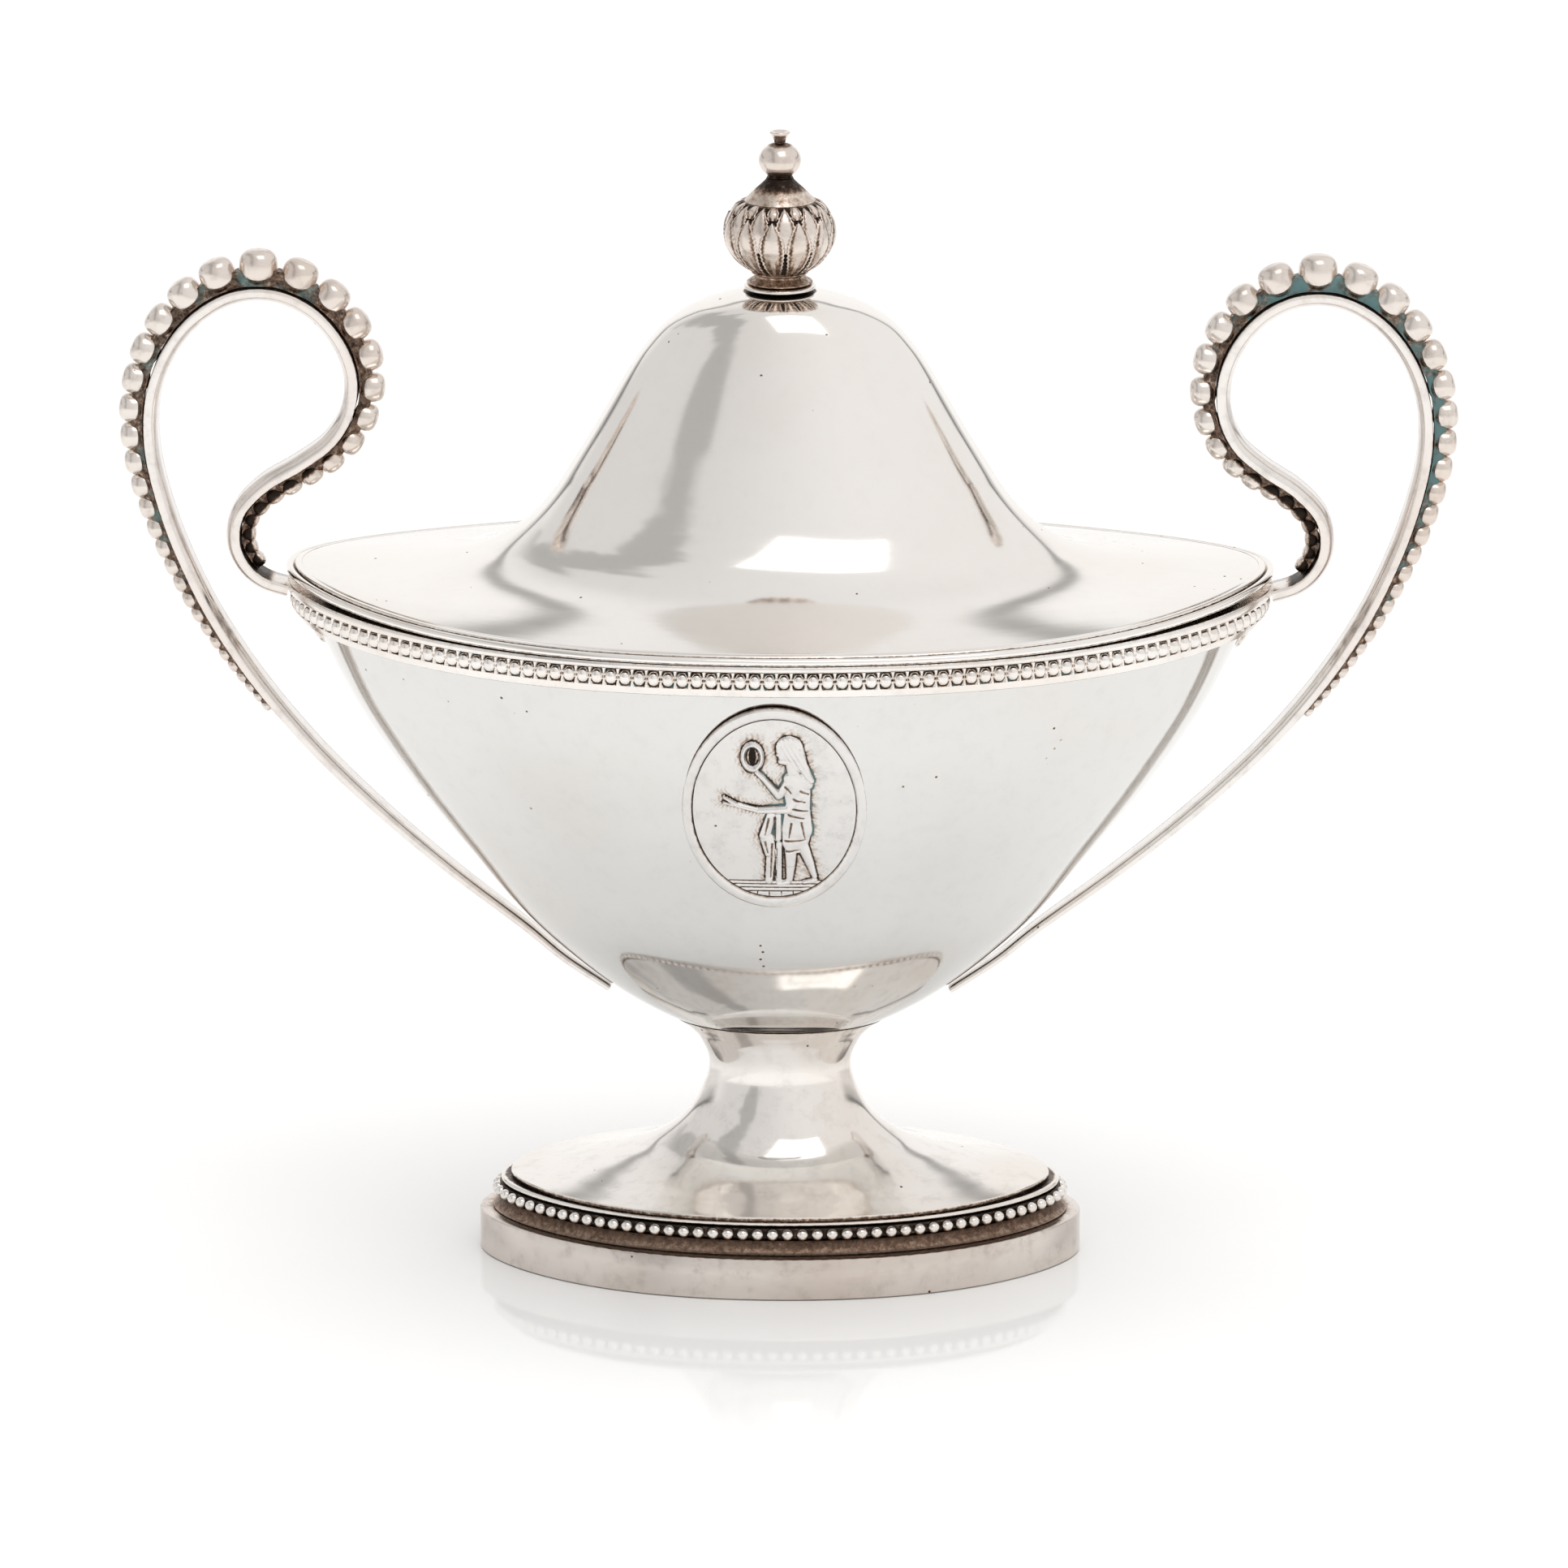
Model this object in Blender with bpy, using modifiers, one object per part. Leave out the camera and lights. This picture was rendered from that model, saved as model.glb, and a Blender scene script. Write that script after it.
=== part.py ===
"""Oval neoclassical silver sugar bowl: a raised bowl on a trumpet foot, a domed lid that lifts off, and
two loop handles backed with graduated beads.

The origin is on the table under the middle of the foot. X runs from handle to handle, Y from front to
back (the medallion faces -Y), Z is up. Every size is in millimetres and is turned into metres when a
mesh is made. Soldered neighbours keep GAP between them, so that no two solids share a face.
"""

import math

import bmesh
import bpy
from mathutils import Vector

MM = 0.001
GAP = 0.3

# Plan shape: every oval piece is an ellipse whose ends are drawn in a little by TIP.
TIP = 0.16
SIDES = 44
ROUND_SIDES = 24

# Bowl. The profile gives the half-length and the height of the outer face, from the bottom up.
BOWL_OVAL = 0.6
BOWL_WALL = 1.0
RIM_HALF_LENGTH = 78.1
RIM_HALF_WIDTH = RIM_HALF_LENGTH * BOWL_OVAL
BOWL_TOP = 111.0
BOWL_PROFILE = [
    (4.0, 36.5),
    (17.4, 39.8),
    (28.6, 46.3),
    (40.8, 56.7),
    (51.2, 68.9),
    (60.9, 81.0),
    (69.3, 93.2),
    (75.6, 105.4),
    (RIM_HALF_LENGTH, 110.2),
    (RIM_HALF_LENGTH, BOWL_TOP),
]
RISE_STARTS = 60.0  # below this height the bowl's rings are level
# How far the rim, the top of its wire and the lid's edge climb from the long sides to the two ends.
RIM_RISE, WIRE_RISE, LID_RISE = 1.4, 2.1, 3.5

# Bands around the rim, stacked: plain fillet, beaded band, plain rim wire.
FILLET_BOTTOM, FILLET_TOP, FILLET_OUT = 106.6, 107.8, 0.75
BAND_BOTTOM, BAND_TOP, BAND_OUT = 108.05, 110.75, 1.9
WIRE_BOTTOM, WIRE_TOP, WIRE_OUT = 111.3, 111.9, 2.3
WIRE_LIP_BOTTOM = 111.0

# Foot, from the table up.
PLINTH_HALF_LENGTH, PLINTH_HALF_WIDTH, PLINTH_TOP = 49.7, 29.4, 6.9
PLINTH_WALL, PLINTH_LEDGE = 1.5, 4.6
COVE_BOTTOM, COVE_TOP = 7.15, 9.1
FOOT_BEAD_BOTTOM, FOOT_BEAD_TOP = 9.35, 11.15
LIP_BOTTOM, LIP_TOP = 11.4, 12.25
FOOT_WALL = 0.85
# Half-length, half-width and height of the trumpet-shaped foot's outer face, from its edge up to the bowl.
FOOT_PROFILE = [
    (44.4, 26.6, 13.3),
    (32.5, 19.8, 15.6),
    (21.5, 14.2, 18.9),
    (15.6, 11.1, 23.0),
    (12.8, 9.5, 27.6),
    (11.7, 8.8, 32.3),
    (13.2, 9.3, 36.0),
    (17.2, 10.4, 38.5),
]

# Lid. The dome is oval too; below DOME_BASE it spreads into the brim.
LID_BOTTOM = WIRE_TOP + GAP
LID_EDGE_LENGTH, LID_EDGE_WIDTH = 78.0, 46.6
LID_EDGE_TOP = LID_BOTTOM + 1.6
LID_WALL = 0.9
LID_MOULDING_OUT = 2.7
# Half-length, half-width and height of the dome's outer face, from the top down.
DOME_PROFILE = [
    (2.0, 2.0, 162.35),
    (6.0, 5.9, 162.15),
    (10.0, 8.6, 161.2),
    (14.0, 10.3, 159.8),
    (18.0, 11.9, 157.3),
    (21.2, 13.1, 153.9),
    (24.3, 14.4, 149.5),
    (30.2, 17.4, 139.4),
]
DOME_BASE = (34.7, 20.3, 132.1)
SLOPE_AT_ENDS, SLOPE_AT_SIDES = 1.71, 2.6  # steepness of the dome's base
EVEN_AT_ENDS, EVEN_AT_SIDES = 0.09, 0.45  # share of the brim's climb to the dome that is an even slope
BEZEL_HALF_LENGTH, BEZEL_HALF_WIDTH, BEZEL_BOTTOM, BEZEL_WALL = 74.6, 44.2, 107.6, 0.9

# Finial, with the stud and the nut that hold it.
STUD_RADIUS, STUD_HOLE = 1.5, 1.85
STUD_BOTTOM, STUD_TOP = 156.4, 168.6
NUT_RADIUS, NUT_BOTTOM, NUT_TOP = 4.2, 157.5, 160.1
WASHER_RADIUS, WASHER_BOTTOM, WASHER_TOP = 5.0, 160.3, 160.9
TOTAL_HEIGHT = 188.5

# Handles. The route is the bead side of the strip, in the XZ plane, for the handle at +X.
HANDLE_ROUTE = [
    (81.2, 113.6),
    (83.9, 114.6),
    (86.4, 116.9),
    (87.8, 120.5),
    (87.0, 125.0),
    (83.2, 129.1),
    (77.6, 132.6),
    (72.6, 136.6),
    (69.6, 142.0),
    (69.1, 148.2),
    (71.3, 154.3),
    (75.9, 159.6),
    (82.2, 162.5),
    (89.2, 162.2),
    (95.7, 158.6),
    (100.6, 152.6),
    (103.4, 145.2),
    (103.9, 136.9),
    (102.3, 128.1),
    (99.0, 118.2),
    (93.8, 107.2),
    (86.6, 96.2),
    (77.2, 85.0),
    (66.4, 74.5),
    (55.0, 64.8),
]
LEAN_LEFT, LEAN_RIGHT = -0.65, 1.9  # how far each loop leans away from the bowl
LEAN_STARTS, LEAN_FULL, LEAN_FADES = 0.08, 0.22, 0.62  # shares of the path
TAIL_STARTS, TAIL_ENDS = 46.5, 27.5  # half-lengths of the bowl where the tail meets it and where it ends
TAIL_PLACES = [(0.30, 2.3), (0.62, 1.9), (1.0, 1.35)]  # (share of the tail, lift off the bowl)
PATH_STEPS = 24  # steps of the path to one span of the route
STRIP_STATIONS = 76
TAPER_STARTS = 0.62  # share of the path past which the strip narrows and thins
STRIP_WIDTH, STRIP_THICKNESS, STRIP_EDGE, STRIP_CHAMFER = 6.8, 2.3, 1.3, 1.5
TAIL_WIDTH, TAIL_THICKNESS = 4.6, 0.9
BEADS_BEFORE_TOP, BEADS_AFTER_TOP = 15, 22
BEAD_PITCH, PITCH_RATIO_UP, PITCH_RATIO_DOWN = 6.7, 0.931, 0.94
BEAD_TOP_AT, BEAD_TOP_PAST = 12, 2.9  # the largest bead is this far past that point of the route
BEAD_HALF_WIDTH, BEAD_HEIGHT = 0.45, 0.75  # shares of a bead's pitch
VALLEY_HALF_WIDTH, VALLEY_HEIGHT = 0.26, 0.36
END_HALF_WIDTH, END_HEIGHT = 0.18, 0.25
SHOULDER_HALF_WIDTH, SHOULDER_HEIGHT = 0.85, 0.62  # shares of a bead's half-width and height
TONGUE_TOP, TONGUE_BOTTOM, TONGUE_WIDTH, TONGUE_THICKNESS = 106.2, 102.9, 4.4, 1.1
TONGUE_ROUNDING, TONGUE_THINNING = 0.75, 0.5  # how far its tip narrows and thins

# Medallion, on the front of the bowl.
MEDAL_HALF_WIDTH, MEDAL_HALF_HEIGHT, MEDAL_CENTRE = 14.7, 18.6, 86.1
MEDAL_SIDES = 36
PLAQUE_THICKNESS = 0.7
PLAQUE_RINGS = (1.0, 0.66, 0.33)  # shares of the plaque's size
FRAME_WIDTH, FRAME_HEIGHT, FRAME_SHOULDER = 1.3, 1.3, 0.6  # the shoulder is a share of the height


# ---------------------------------------------------------------- scene and materials


def clear_scene():
    for obj in list(bpy.data.objects):
        bpy.data.objects.remove(obj, do_unlink=True)


def new_collection(name):
    collection = bpy.data.collections.new(name)
    bpy.context.scene.collection.children.link(collection)
    return collection


def metal(name, colour, roughness):
    material = bpy.data.materials.new(name)
    material.use_nodes = True
    shader = material.node_tree.nodes["Principled BSDF"]
    shader.inputs["Base Color"].default_value = (*colour, 1.0)
    shader.inputs["Metallic"].default_value = 1.0
    shader.inputs["Roughness"].default_value = roughness
    return material


clear_scene()
PARTS = new_collection("sugar_bowl")
CUTTERS = new_collection("cutters")
POLISHED = metal("polished_silver", (0.90, 0.87, 0.83), 0.12)
SATIN = metal("satin_silver", (0.84, 0.80, 0.75), 0.25)
TARNISHED = metal("tarnished_silver", (0.46, 0.42, 0.38), 0.4)


# ---------------------------------------------------------------- curves and surfaces


def smooth(points, steps):
    """Points on a Catmull-Rom curve through the given ones, with so many steps to a span."""
    first = [2 * a - b for a, b in zip(points[0], points[1])]
    last = [2 * a - b for a, b in zip(points[-1], points[-2])]
    knots = [first, *points, last]
    curve = []
    for p0, p1, p2, p3 in zip(knots, knots[1:], knots[2:], knots[3:]):
        for step in range(steps):
            t = step / steps
            curve.append(
                tuple(
                    0.5 * (2 * b + (c - a) * t + (2 * a - 5 * b + 4 * c - d) * t**2)
                    + 0.5 * (3 * b - a - 3 * c + d) * t**3
                    for a, b, c, d in zip(p0, p1, p2, p3)
                )
            )
    curve.append(tuple(points[-1]))
    return curve


def angles(sides):
    return [math.tau * i / sides for i in range(sides)]


def oval_point(half_length, half_width, angle):
    x = half_length * math.cos(angle)
    y = half_width * math.sin(angle) * (1 - TIP * math.cos(angle) ** 4)
    return x, y


def oval_ring(half_length, half_width, height, rise=0.0):
    """One level oval, whose two ends are lifted by rise."""
    ring = []
    for angle in angles(SIDES):
        x, y = oval_point(half_length, half_width, angle)
        ring.append((x, y, height + rise * math.cos(angle) ** 4))
    return ring


def add_object(name, mesh, material):
    mesh.materials.append(material)
    obj = bpy.data.objects.new(name, mesh)
    PARTS.objects.link(obj)
    mesh.shade_smooth()
    mesh.set_sharp_from_angle(angle=math.radians(40))
    return obj


def loft(name, rings, material, ring_of_rings=False, caps=(False, False)):
    """A surface through rings of equally many points. ring_of_rings joins the last ring to the first."""
    work = bmesh.new()
    rows = [[work.verts.new(Vector(point) * MM) for point in ring] for ring in rings]
    pairs = list(zip(rows, rows[1:]))
    if ring_of_rings:
        pairs.append((rows[-1], rows[0]))
    for low, high in pairs:
        for i in range(len(low)):
            j = (i + 1) % len(low)
            work.faces.new((low[i], low[j], high[j], high[i]))
    if caps[0]:
        work.faces.new(rows[0][::-1])
    if caps[1]:
        work.faces.new(rows[-1])
    if ring_of_rings or all(caps):
        bmesh.ops.recalc_face_normals(work, faces=work.faces)
    mesh = bpy.data.meshes.new(name)
    work.to_mesh(mesh)
    work.free()
    return add_object(name, mesh, material)


def thicken(obj, thickness):
    """Gives an open shell its wall, on the inner side of its faces."""
    solidify = obj.modifiers.new("wall", "SOLIDIFY")
    solidify.thickness = thickness * MM
    solidify.offset = -1.0
    solidify.use_even_offset = True


def oval_band(name, half_length, half_width, section, material, rise=0.0, top_rise=None):
    """A closed section of (outward, height) points, run round an oval.

    Its two ends are lifted by rise, and its highest points there by top_rise, where that is given.
    """
    top = max(height for _, height in section)
    rings = []
    for out, height in section:
        lift = top_rise if height == top and top_rise is not None else rise
        rings.append(oval_ring(half_length + out, half_width + out, height, lift))
    return loft(name, rings, material, ring_of_rings=True)


def turned(name, profile, material, closed=False):
    """A round piece: a profile of (radius, height) that runs down its outer side, turned about Z."""
    count = len(profile)
    edges = [(i, i + 1) for i in range(count - 1)]
    if closed:
        edges.append((count - 1, 0))
    mesh = bpy.data.meshes.new(name)
    mesh.from_pydata([(radius * MM, 0.0, height * MM) for radius, height in profile], edges, [])
    obj = add_object(name, mesh, material)
    screw = obj.modifiers.new("turn", "SCREW")
    screw.axis = "Z"
    screw.angle = math.tau
    screw.steps = ROUND_SIDES
    screw.render_steps = ROUND_SIDES
    screw.use_merge_vertices = True
    screw.merge_threshold = 0.00001
    screw.use_smooth_shade = True
    return obj


# ---------------------------------------------------------------- bowl


def bowl_half_length(height):
    """The outer half-length of the bowl at a height, read along its profile."""
    curve = smooth(BOWL_PROFILE[:-1], 12)
    for (low_a, low_z), (high_a, high_z) in zip(curve, curve[1:]):
        if low_z <= height <= high_z:
            return low_a + (high_a - low_a) * (height - low_z) / (high_z - low_z)
    return curve[-1][0]


def bowl_rise(height):
    """How far the ends of the bowl's ring at this height are lifted."""
    share = max(0.0, (height - RISE_STARTS) / (BOWL_TOP - RISE_STARTS))
    return RIM_RISE * share**2


def bowl_front(x, height):
    """The point of the bowl's front face at x and a height."""
    half_length = bowl_half_length(height)
    cosine = x / half_length
    y = -half_length * BOWL_OVAL * math.sqrt(1 - cosine**2) * (1 - TIP * cosine**4)
    return Vector((x, y, height))


def bowl_front_normal(x, height):
    step = 0.2
    along_x = bowl_front(x + step, height) - bowl_front(x - step, height)
    along_z = bowl_front(x, height + step) - bowl_front(x, height - step)
    return along_x.cross(along_z).normalized()


def make_bowl():
    rings = [oval_ring(a, a * BOWL_OVAL, z, bowl_rise(z)) for a, z in BOWL_PROFILE]
    thicken(loft("bowl_body", rings, POLISHED, caps=(True, False)), BOWL_WALL)


def make_rim():
    """The three applied strips at the rim. Distances are from the bowl's own rim oval."""

    def wall(height):
        """Just outside the bowl's face, which leans less at the sides than at the ends."""
        return 0.1 + GAP - BOWL_OVAL * (RIM_HALF_LENGTH - bowl_half_length(height))

    fillet = [
        (wall(FILLET_BOTTOM), FILLET_BOTTOM),
        (FILLET_OUT - 0.5, FILLET_BOTTOM),
        (FILLET_OUT, FILLET_TOP),
        (wall(FILLET_TOP), FILLET_TOP),
    ]
    oval_band("rim_fillet", RIM_HALF_LENGTH, RIM_HALF_WIDTH, fillet, POLISHED, RIM_RISE)
    middle = (BAND_BOTTOM + BAND_TOP) / 2
    band = [
        (wall(BAND_BOTTOM), BAND_BOTTOM),
        (BAND_OUT - 0.8, BAND_BOTTOM),
        (BAND_OUT, middle - 0.6),
        (BAND_OUT, middle + 0.6),
        (BAND_OUT - 0.8, BAND_TOP),
        (wall(BAND_TOP), BAND_TOP),
    ]
    oval_band("rim_bead_band", RIM_HALF_LENGTH, RIM_HALF_WIDTH, band, SATIN, RIM_RISE)
    wire = [
        (GAP + 0.3, WIRE_LIP_BOTTOM),
        (WIRE_OUT - 0.4, WIRE_LIP_BOTTOM),
        (WIRE_OUT, WIRE_BOTTOM + 0.2),
        (WIRE_OUT - 0.2, WIRE_TOP),
        (-BOWL_WALL - 0.2, WIRE_TOP),
        (-BOWL_WALL - 0.2, WIRE_BOTTOM),
        (GAP + 0.3, WIRE_BOTTOM),
    ]
    oval_band("rim_wire", RIM_HALF_LENGTH, RIM_HALF_WIDTH, wire, POLISHED, RIM_RISE, WIRE_RISE)


# ---------------------------------------------------------------- foot


def make_foot():
    length, width = PLINTH_HALF_LENGTH, PLINTH_HALF_WIDTH
    plinth = [
        (-PLINTH_WALL, 0.0),
        (0.0, 0.0),
        (0.0, PLINTH_TOP - 0.3),
        (-0.3, PLINTH_TOP),
        (-PLINTH_LEDGE, PLINTH_TOP),
        (-PLINTH_LEDGE, PLINTH_TOP - 1.2),
        (-PLINTH_WALL, PLINTH_TOP - 1.2),
    ]
    oval_band("plinth_band", length, width, plinth, POLISHED)
    cove = [
        (-4.3, COVE_BOTTOM),
        (-2.3, COVE_BOTTOM),
        (-3.0, COVE_BOTTOM + 0.5),
        (-3.4, COVE_BOTTOM + 1.2),
        (-3.3, COVE_TOP),
        (-4.6, COVE_TOP),
    ]
    oval_band("foot_cove", length, width, cove, TARNISHED)
    middle = (FOOT_BEAD_BOTTOM + FOOT_BEAD_TOP) / 2
    beads = [
        (-4.8, FOOT_BEAD_BOTTOM),
        (-3.3, FOOT_BEAD_BOTTOM),
        (-2.5, middle - 0.4),
        (-2.5, middle + 0.4),
        (-3.3, FOOT_BEAD_TOP),
        (-4.8, FOOT_BEAD_TOP),
    ]
    oval_band("foot_bead_ring", length, width, beads, SATIN)
    lip = [
        (-5.6, LIP_BOTTOM),
        (-4.3, LIP_BOTTOM),
        (-4.0, (LIP_BOTTOM + LIP_TOP) / 2),
        (-4.5, LIP_TOP),
        (-6.2, LIP_TOP),
    ]
    oval_band("foot_lip", length, width, lip, POLISHED)
    rings = [oval_ring(a, b, z) for a, b, z in FOOT_PROFILE]
    thicken(loft("foot_trumpet", rings, POLISHED), FOOT_WALL)


# ---------------------------------------------------------------- lid


def lid_point(angle, share):
    """The lid's outer face between its edge (share 0) and the base of the dome (share 1)."""
    edge_x, edge_y = oval_point(LID_EDGE_LENGTH, LID_EDGE_WIDTH, angle)
    base_length, base_width, base_height = DOME_BASE
    base_x, base_y = base_length * math.cos(angle), base_width * math.sin(angle)
    edge_height = LID_EDGE_TOP + LID_RISE * math.cos(angle) ** 4
    reach = math.hypot(edge_x - base_x, edge_y - base_y)
    climb = base_height - edge_height
    to_end = math.cos(angle) ** 2
    slope = SLOPE_AT_ENDS * to_end + SLOPE_AT_SIDES * (1 - to_end)
    even = EVEN_AT_ENDS * to_end + EVEN_AT_SIDES * (1 - to_end)
    power = (slope * reach / climb - even) / (1 - even)
    height = edge_height + climb * (even * share + (1 - even) * share**power)
    return edge_x + (base_x - edge_x) * share, edge_y + (base_y - edge_y) * share, height


def make_lid():
    shares = [0.0, 0.3, 0.55, 0.74, 0.88]  # finer where the brim turns up into the dome
    rings = [[lid_point(angle, share) for angle in angles(SIDES)] for share in shares]
    dome = [*DOME_PROFILE, DOME_BASE][::-1]
    turns = [(math.cos(angle), math.sin(angle)) for angle in angles(SIDES)]
    rings += [[(length * x, width * y, height) for x, y in turns] for length, width, height in dome]
    thicken(loft("lid_shell", rings, POLISHED), LID_WALL)
    outer = LID_MOULDING_OUT
    moulding = [
        (-1.7, LID_BOTTOM),
        (outer - 0.5, LID_BOTTOM),
        (outer, LID_BOTTOM + 0.6),
        (outer - 0.4, LID_BOTTOM + 1.3),
        (0.9, LID_BOTTOM + 1.5),
        (0.4, LID_BOTTOM + 1.2),
        (0.4, LID_BOTTOM + 0.35),
        (-1.7, LID_BOTTOM + 0.35),
    ]
    oval_band("lid_moulding", LID_EDGE_LENGTH, LID_EDGE_WIDTH, moulding, POLISHED, LID_RISE)
    low, high = BEZEL_BOTTOM, LID_BOTTOM + 0.2
    bezel = [(-BEZEL_WALL, low), (0.0, low), (0.0, high), (-BEZEL_WALL, high)]
    oval_band("lid_bezel", BEZEL_HALF_LENGTH, BEZEL_HALF_WIDTH, bezel, SATIN, RIM_RISE, LID_RISE)


# ---------------------------------------------------------------- finial


def make_finial():
    collar = [(STUD_HOLE, 163.3), (5.4, 163.3), (5.9, 162.95), (5.6, 162.7), (STUD_HOLE, 162.7)]
    turned("finial_collar", collar, SATIN, closed=True)
    bud = [
        (0.0, 180.6),
        (2.3, 180.6),
        (3.7, 179.4),
        (5.8, 177.3),
        (7.6, 176.3),
        (8.9, 174.4),
        (9.2, 172.0),
        (8.6, 169.6),
        (6.6, 167.0),
        (4.4, 165.4),
        (4.1, 164.7),
        (5.1, 163.6),
        (STUD_HOLE, 163.6),
        (STUD_HOLE, 169.0),
        (0.0, 169.0),
    ]
    turned("finial_bud", bud, TARNISHED)
    ball = [
        (0.0, 186.55),
        (1.1, 186.55),
        (2.6, 185.8),
        (3.4, 184.0),
        (3.1, 182.3),
        (2.1, 180.9),
        (0.0, 180.9),
    ]
    turned("finial_ball", ball, POLISHED)
    button = [(0.0, TOTAL_HEIGHT), (1.6, TOTAL_HEIGHT), (1.5, 187.8), (1.0, 186.85), (0.0, 186.85)]
    turned("finial_button", button, SATIN)


def move_to(obj, collection):
    for old in list(obj.users_collection):
        old.objects.unlink(obj)
    collection.objects.link(obj)


def take(name, material):
    """Names the primitive that was just added, and puts it with the parts."""
    obj = bpy.context.object
    obj.name = name
    obj.data.name = name
    obj.data.materials.append(material)
    move_to(obj, PARTS)
    return obj


def make_fastening():
    """The threaded stud in the finial, with the washer and the six-sided nut inside the dome."""
    bpy.ops.mesh.primitive_cylinder_add(
        vertices=16,
        radius=STUD_RADIUS * MM,
        depth=(STUD_TOP - STUD_BOTTOM) * MM,
        location=(0, 0, (STUD_TOP + STUD_BOTTOM) / 2 * MM),
    )
    take("finial_stud", SATIN)
    washer = [
        (STUD_HOLE, WASHER_TOP),
        (WASHER_RADIUS, WASHER_TOP),
        (WASHER_RADIUS, WASHER_BOTTOM),
        (STUD_HOLE, WASHER_BOTTOM),
    ]
    turned("finial_washer", washer, SATIN, closed=True)
    place = (0, 0, (NUT_TOP + NUT_BOTTOM) / 2 * MM)
    bpy.ops.mesh.primitive_cylinder_add(
        vertices=6, radius=NUT_RADIUS * MM, depth=(NUT_TOP - NUT_BOTTOM) * MM, location=place
    )
    nut = take("finial_nut", SATIN)
    bpy.ops.mesh.primitive_cylinder_add(vertices=16, radius=STUD_HOLE * MM, depth=6 * MM, location=place)
    cutter = bpy.context.object
    cutter.name = "nut_bore_cutter"
    move_to(cutter, CUTTERS)
    cutter.hide_render = True
    cutter.display_type = "WIRE"
    bore = nut.modifiers.new("bore", "BOOLEAN")
    bore.operation = "DIFFERENCE"
    bore.object = cutter


# ---------------------------------------------------------------- handles


def handle_path():
    """Points (x, z) along the bead side of the strip, and how far along it each one lies.

    After the free stretch, the tail follows the bowl's outer face down to its tip.
    """
    route = list(HANDLE_ROUTE)
    curve = smooth(BOWL_PROFILE, 12)
    for share, lift in TAIL_PLACES:
        half_length = TAIL_STARTS + (TAIL_ENDS - TAIL_STARTS) * share
        x, z = min(curve, key=lambda point: abs(point[0] - half_length))
        nearby = min(curve, key=lambda point: abs(point[0] - half_length - 2.0))
        slope = math.atan2(nearby[1] - z, nearby[0] - x)
        route.append((x + math.sin(slope) * lift, z - math.cos(slope) * lift))
    dense = [Vector(point) for point in smooth(route, PATH_STEPS)]
    lengths = [0.0]
    for a, b in zip(dense, dense[1:]):
        lengths.append(lengths[-1] + (b - a).length)
    return dense, lengths


PATH, PATH_LENGTHS = handle_path()
PATH_LENGTH = PATH_LENGTHS[-1]


def path_at(distance):
    """The point at a distance along the path, and the normal on its bead side."""
    distance = min(max(distance, 0.0), PATH_LENGTH)
    i = 1
    while i < len(PATH_LENGTHS) - 1 and PATH_LENGTHS[i] < distance:
        i += 1
    span = PATH_LENGTHS[i] - PATH_LENGTHS[i - 1]
    share = (distance - PATH_LENGTHS[i - 1]) / span
    point = PATH[i - 1].lerp(PATH[i], share)
    before, after = PATH[max(i - 2, 0)], PATH[min(i + 1, len(PATH) - 1)]
    along = (after - before).normalized()
    return point, Vector((-along.y, along.x))


def soft_step(value, low, high):
    share = min(max((value - low) / (high - low), 0.0), 1.0)
    return share * share * (3 - 2 * share)


def section_ring(distance, section, side):
    """A section of (outward, across) points, stood on the path, for the handle at side * X."""
    point, normal = path_at(distance)
    share = distance / PATH_LENGTH
    lean = LEAN_RIGHT if side > 0 else LEAN_LEFT
    lean *= soft_step(share, LEAN_STARTS, LEAN_FULL) * (1 - soft_step(share, LEAN_FADES, 1.0))
    ring = []
    for out, across in section:
        place = point + normal * out
        ring.append((side * (place.x + lean), across, place.y))
    return ring


def strip_section(distance):
    """The strip's section: flat on the bead side, chamfered inside, and thinned along the tail."""
    tail_share = max((distance / PATH_LENGTH - TAPER_STARTS) / (1 - TAPER_STARTS), 0.0)
    half = (STRIP_WIDTH + (TAIL_WIDTH - STRIP_WIDTH) * tail_share**2) / 2
    thick = STRIP_THICKNESS + (TAIL_THICKNESS - STRIP_THICKNESS) * tail_share
    edge = STRIP_EDGE * thick / STRIP_THICKNESS
    chamfer = STRIP_CHAMFER * thick / STRIP_THICKNESS
    inner = half - chamfer
    return [(0, -half), (0, half), (-edge, half), (-thick, inner), (-thick, -inner), (-edge, -half)]


def bead_places():
    """(distance along the path, pitch) of each bead, from the rim end to the tail end.

    The largest bead sits on top of the loop, and each pitch is a fixed share of the one before it.
    """
    top = PATH_LENGTHS[BEAD_TOP_AT * PATH_STEPS] + BEAD_TOP_PAST
    before, after = [], []
    place, pitch = top, BEAD_PITCH
    for _ in range(BEADS_BEFORE_TOP):
        place -= pitch
        pitch *= PITCH_RATIO_UP
        before.append((place, pitch))
    place, pitch = top, BEAD_PITCH
    for _ in range(BEADS_AFTER_TOP):
        place += pitch
        pitch *= PITCH_RATIO_DOWN
        after.append((place, pitch))
    return [*before[::-1], (top, BEAD_PITCH), *after]


def bead_section(width, height):
    """A low arch over the strip's bead side."""
    shoulder = GAP + SHOULDER_HEIGHT * height
    inner = SHOULDER_HALF_WIDTH * width
    return [(GAP, -width), (GAP, width), (shoulder, inner), (GAP + height, 0.0), (shoulder, -inner)]


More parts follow.
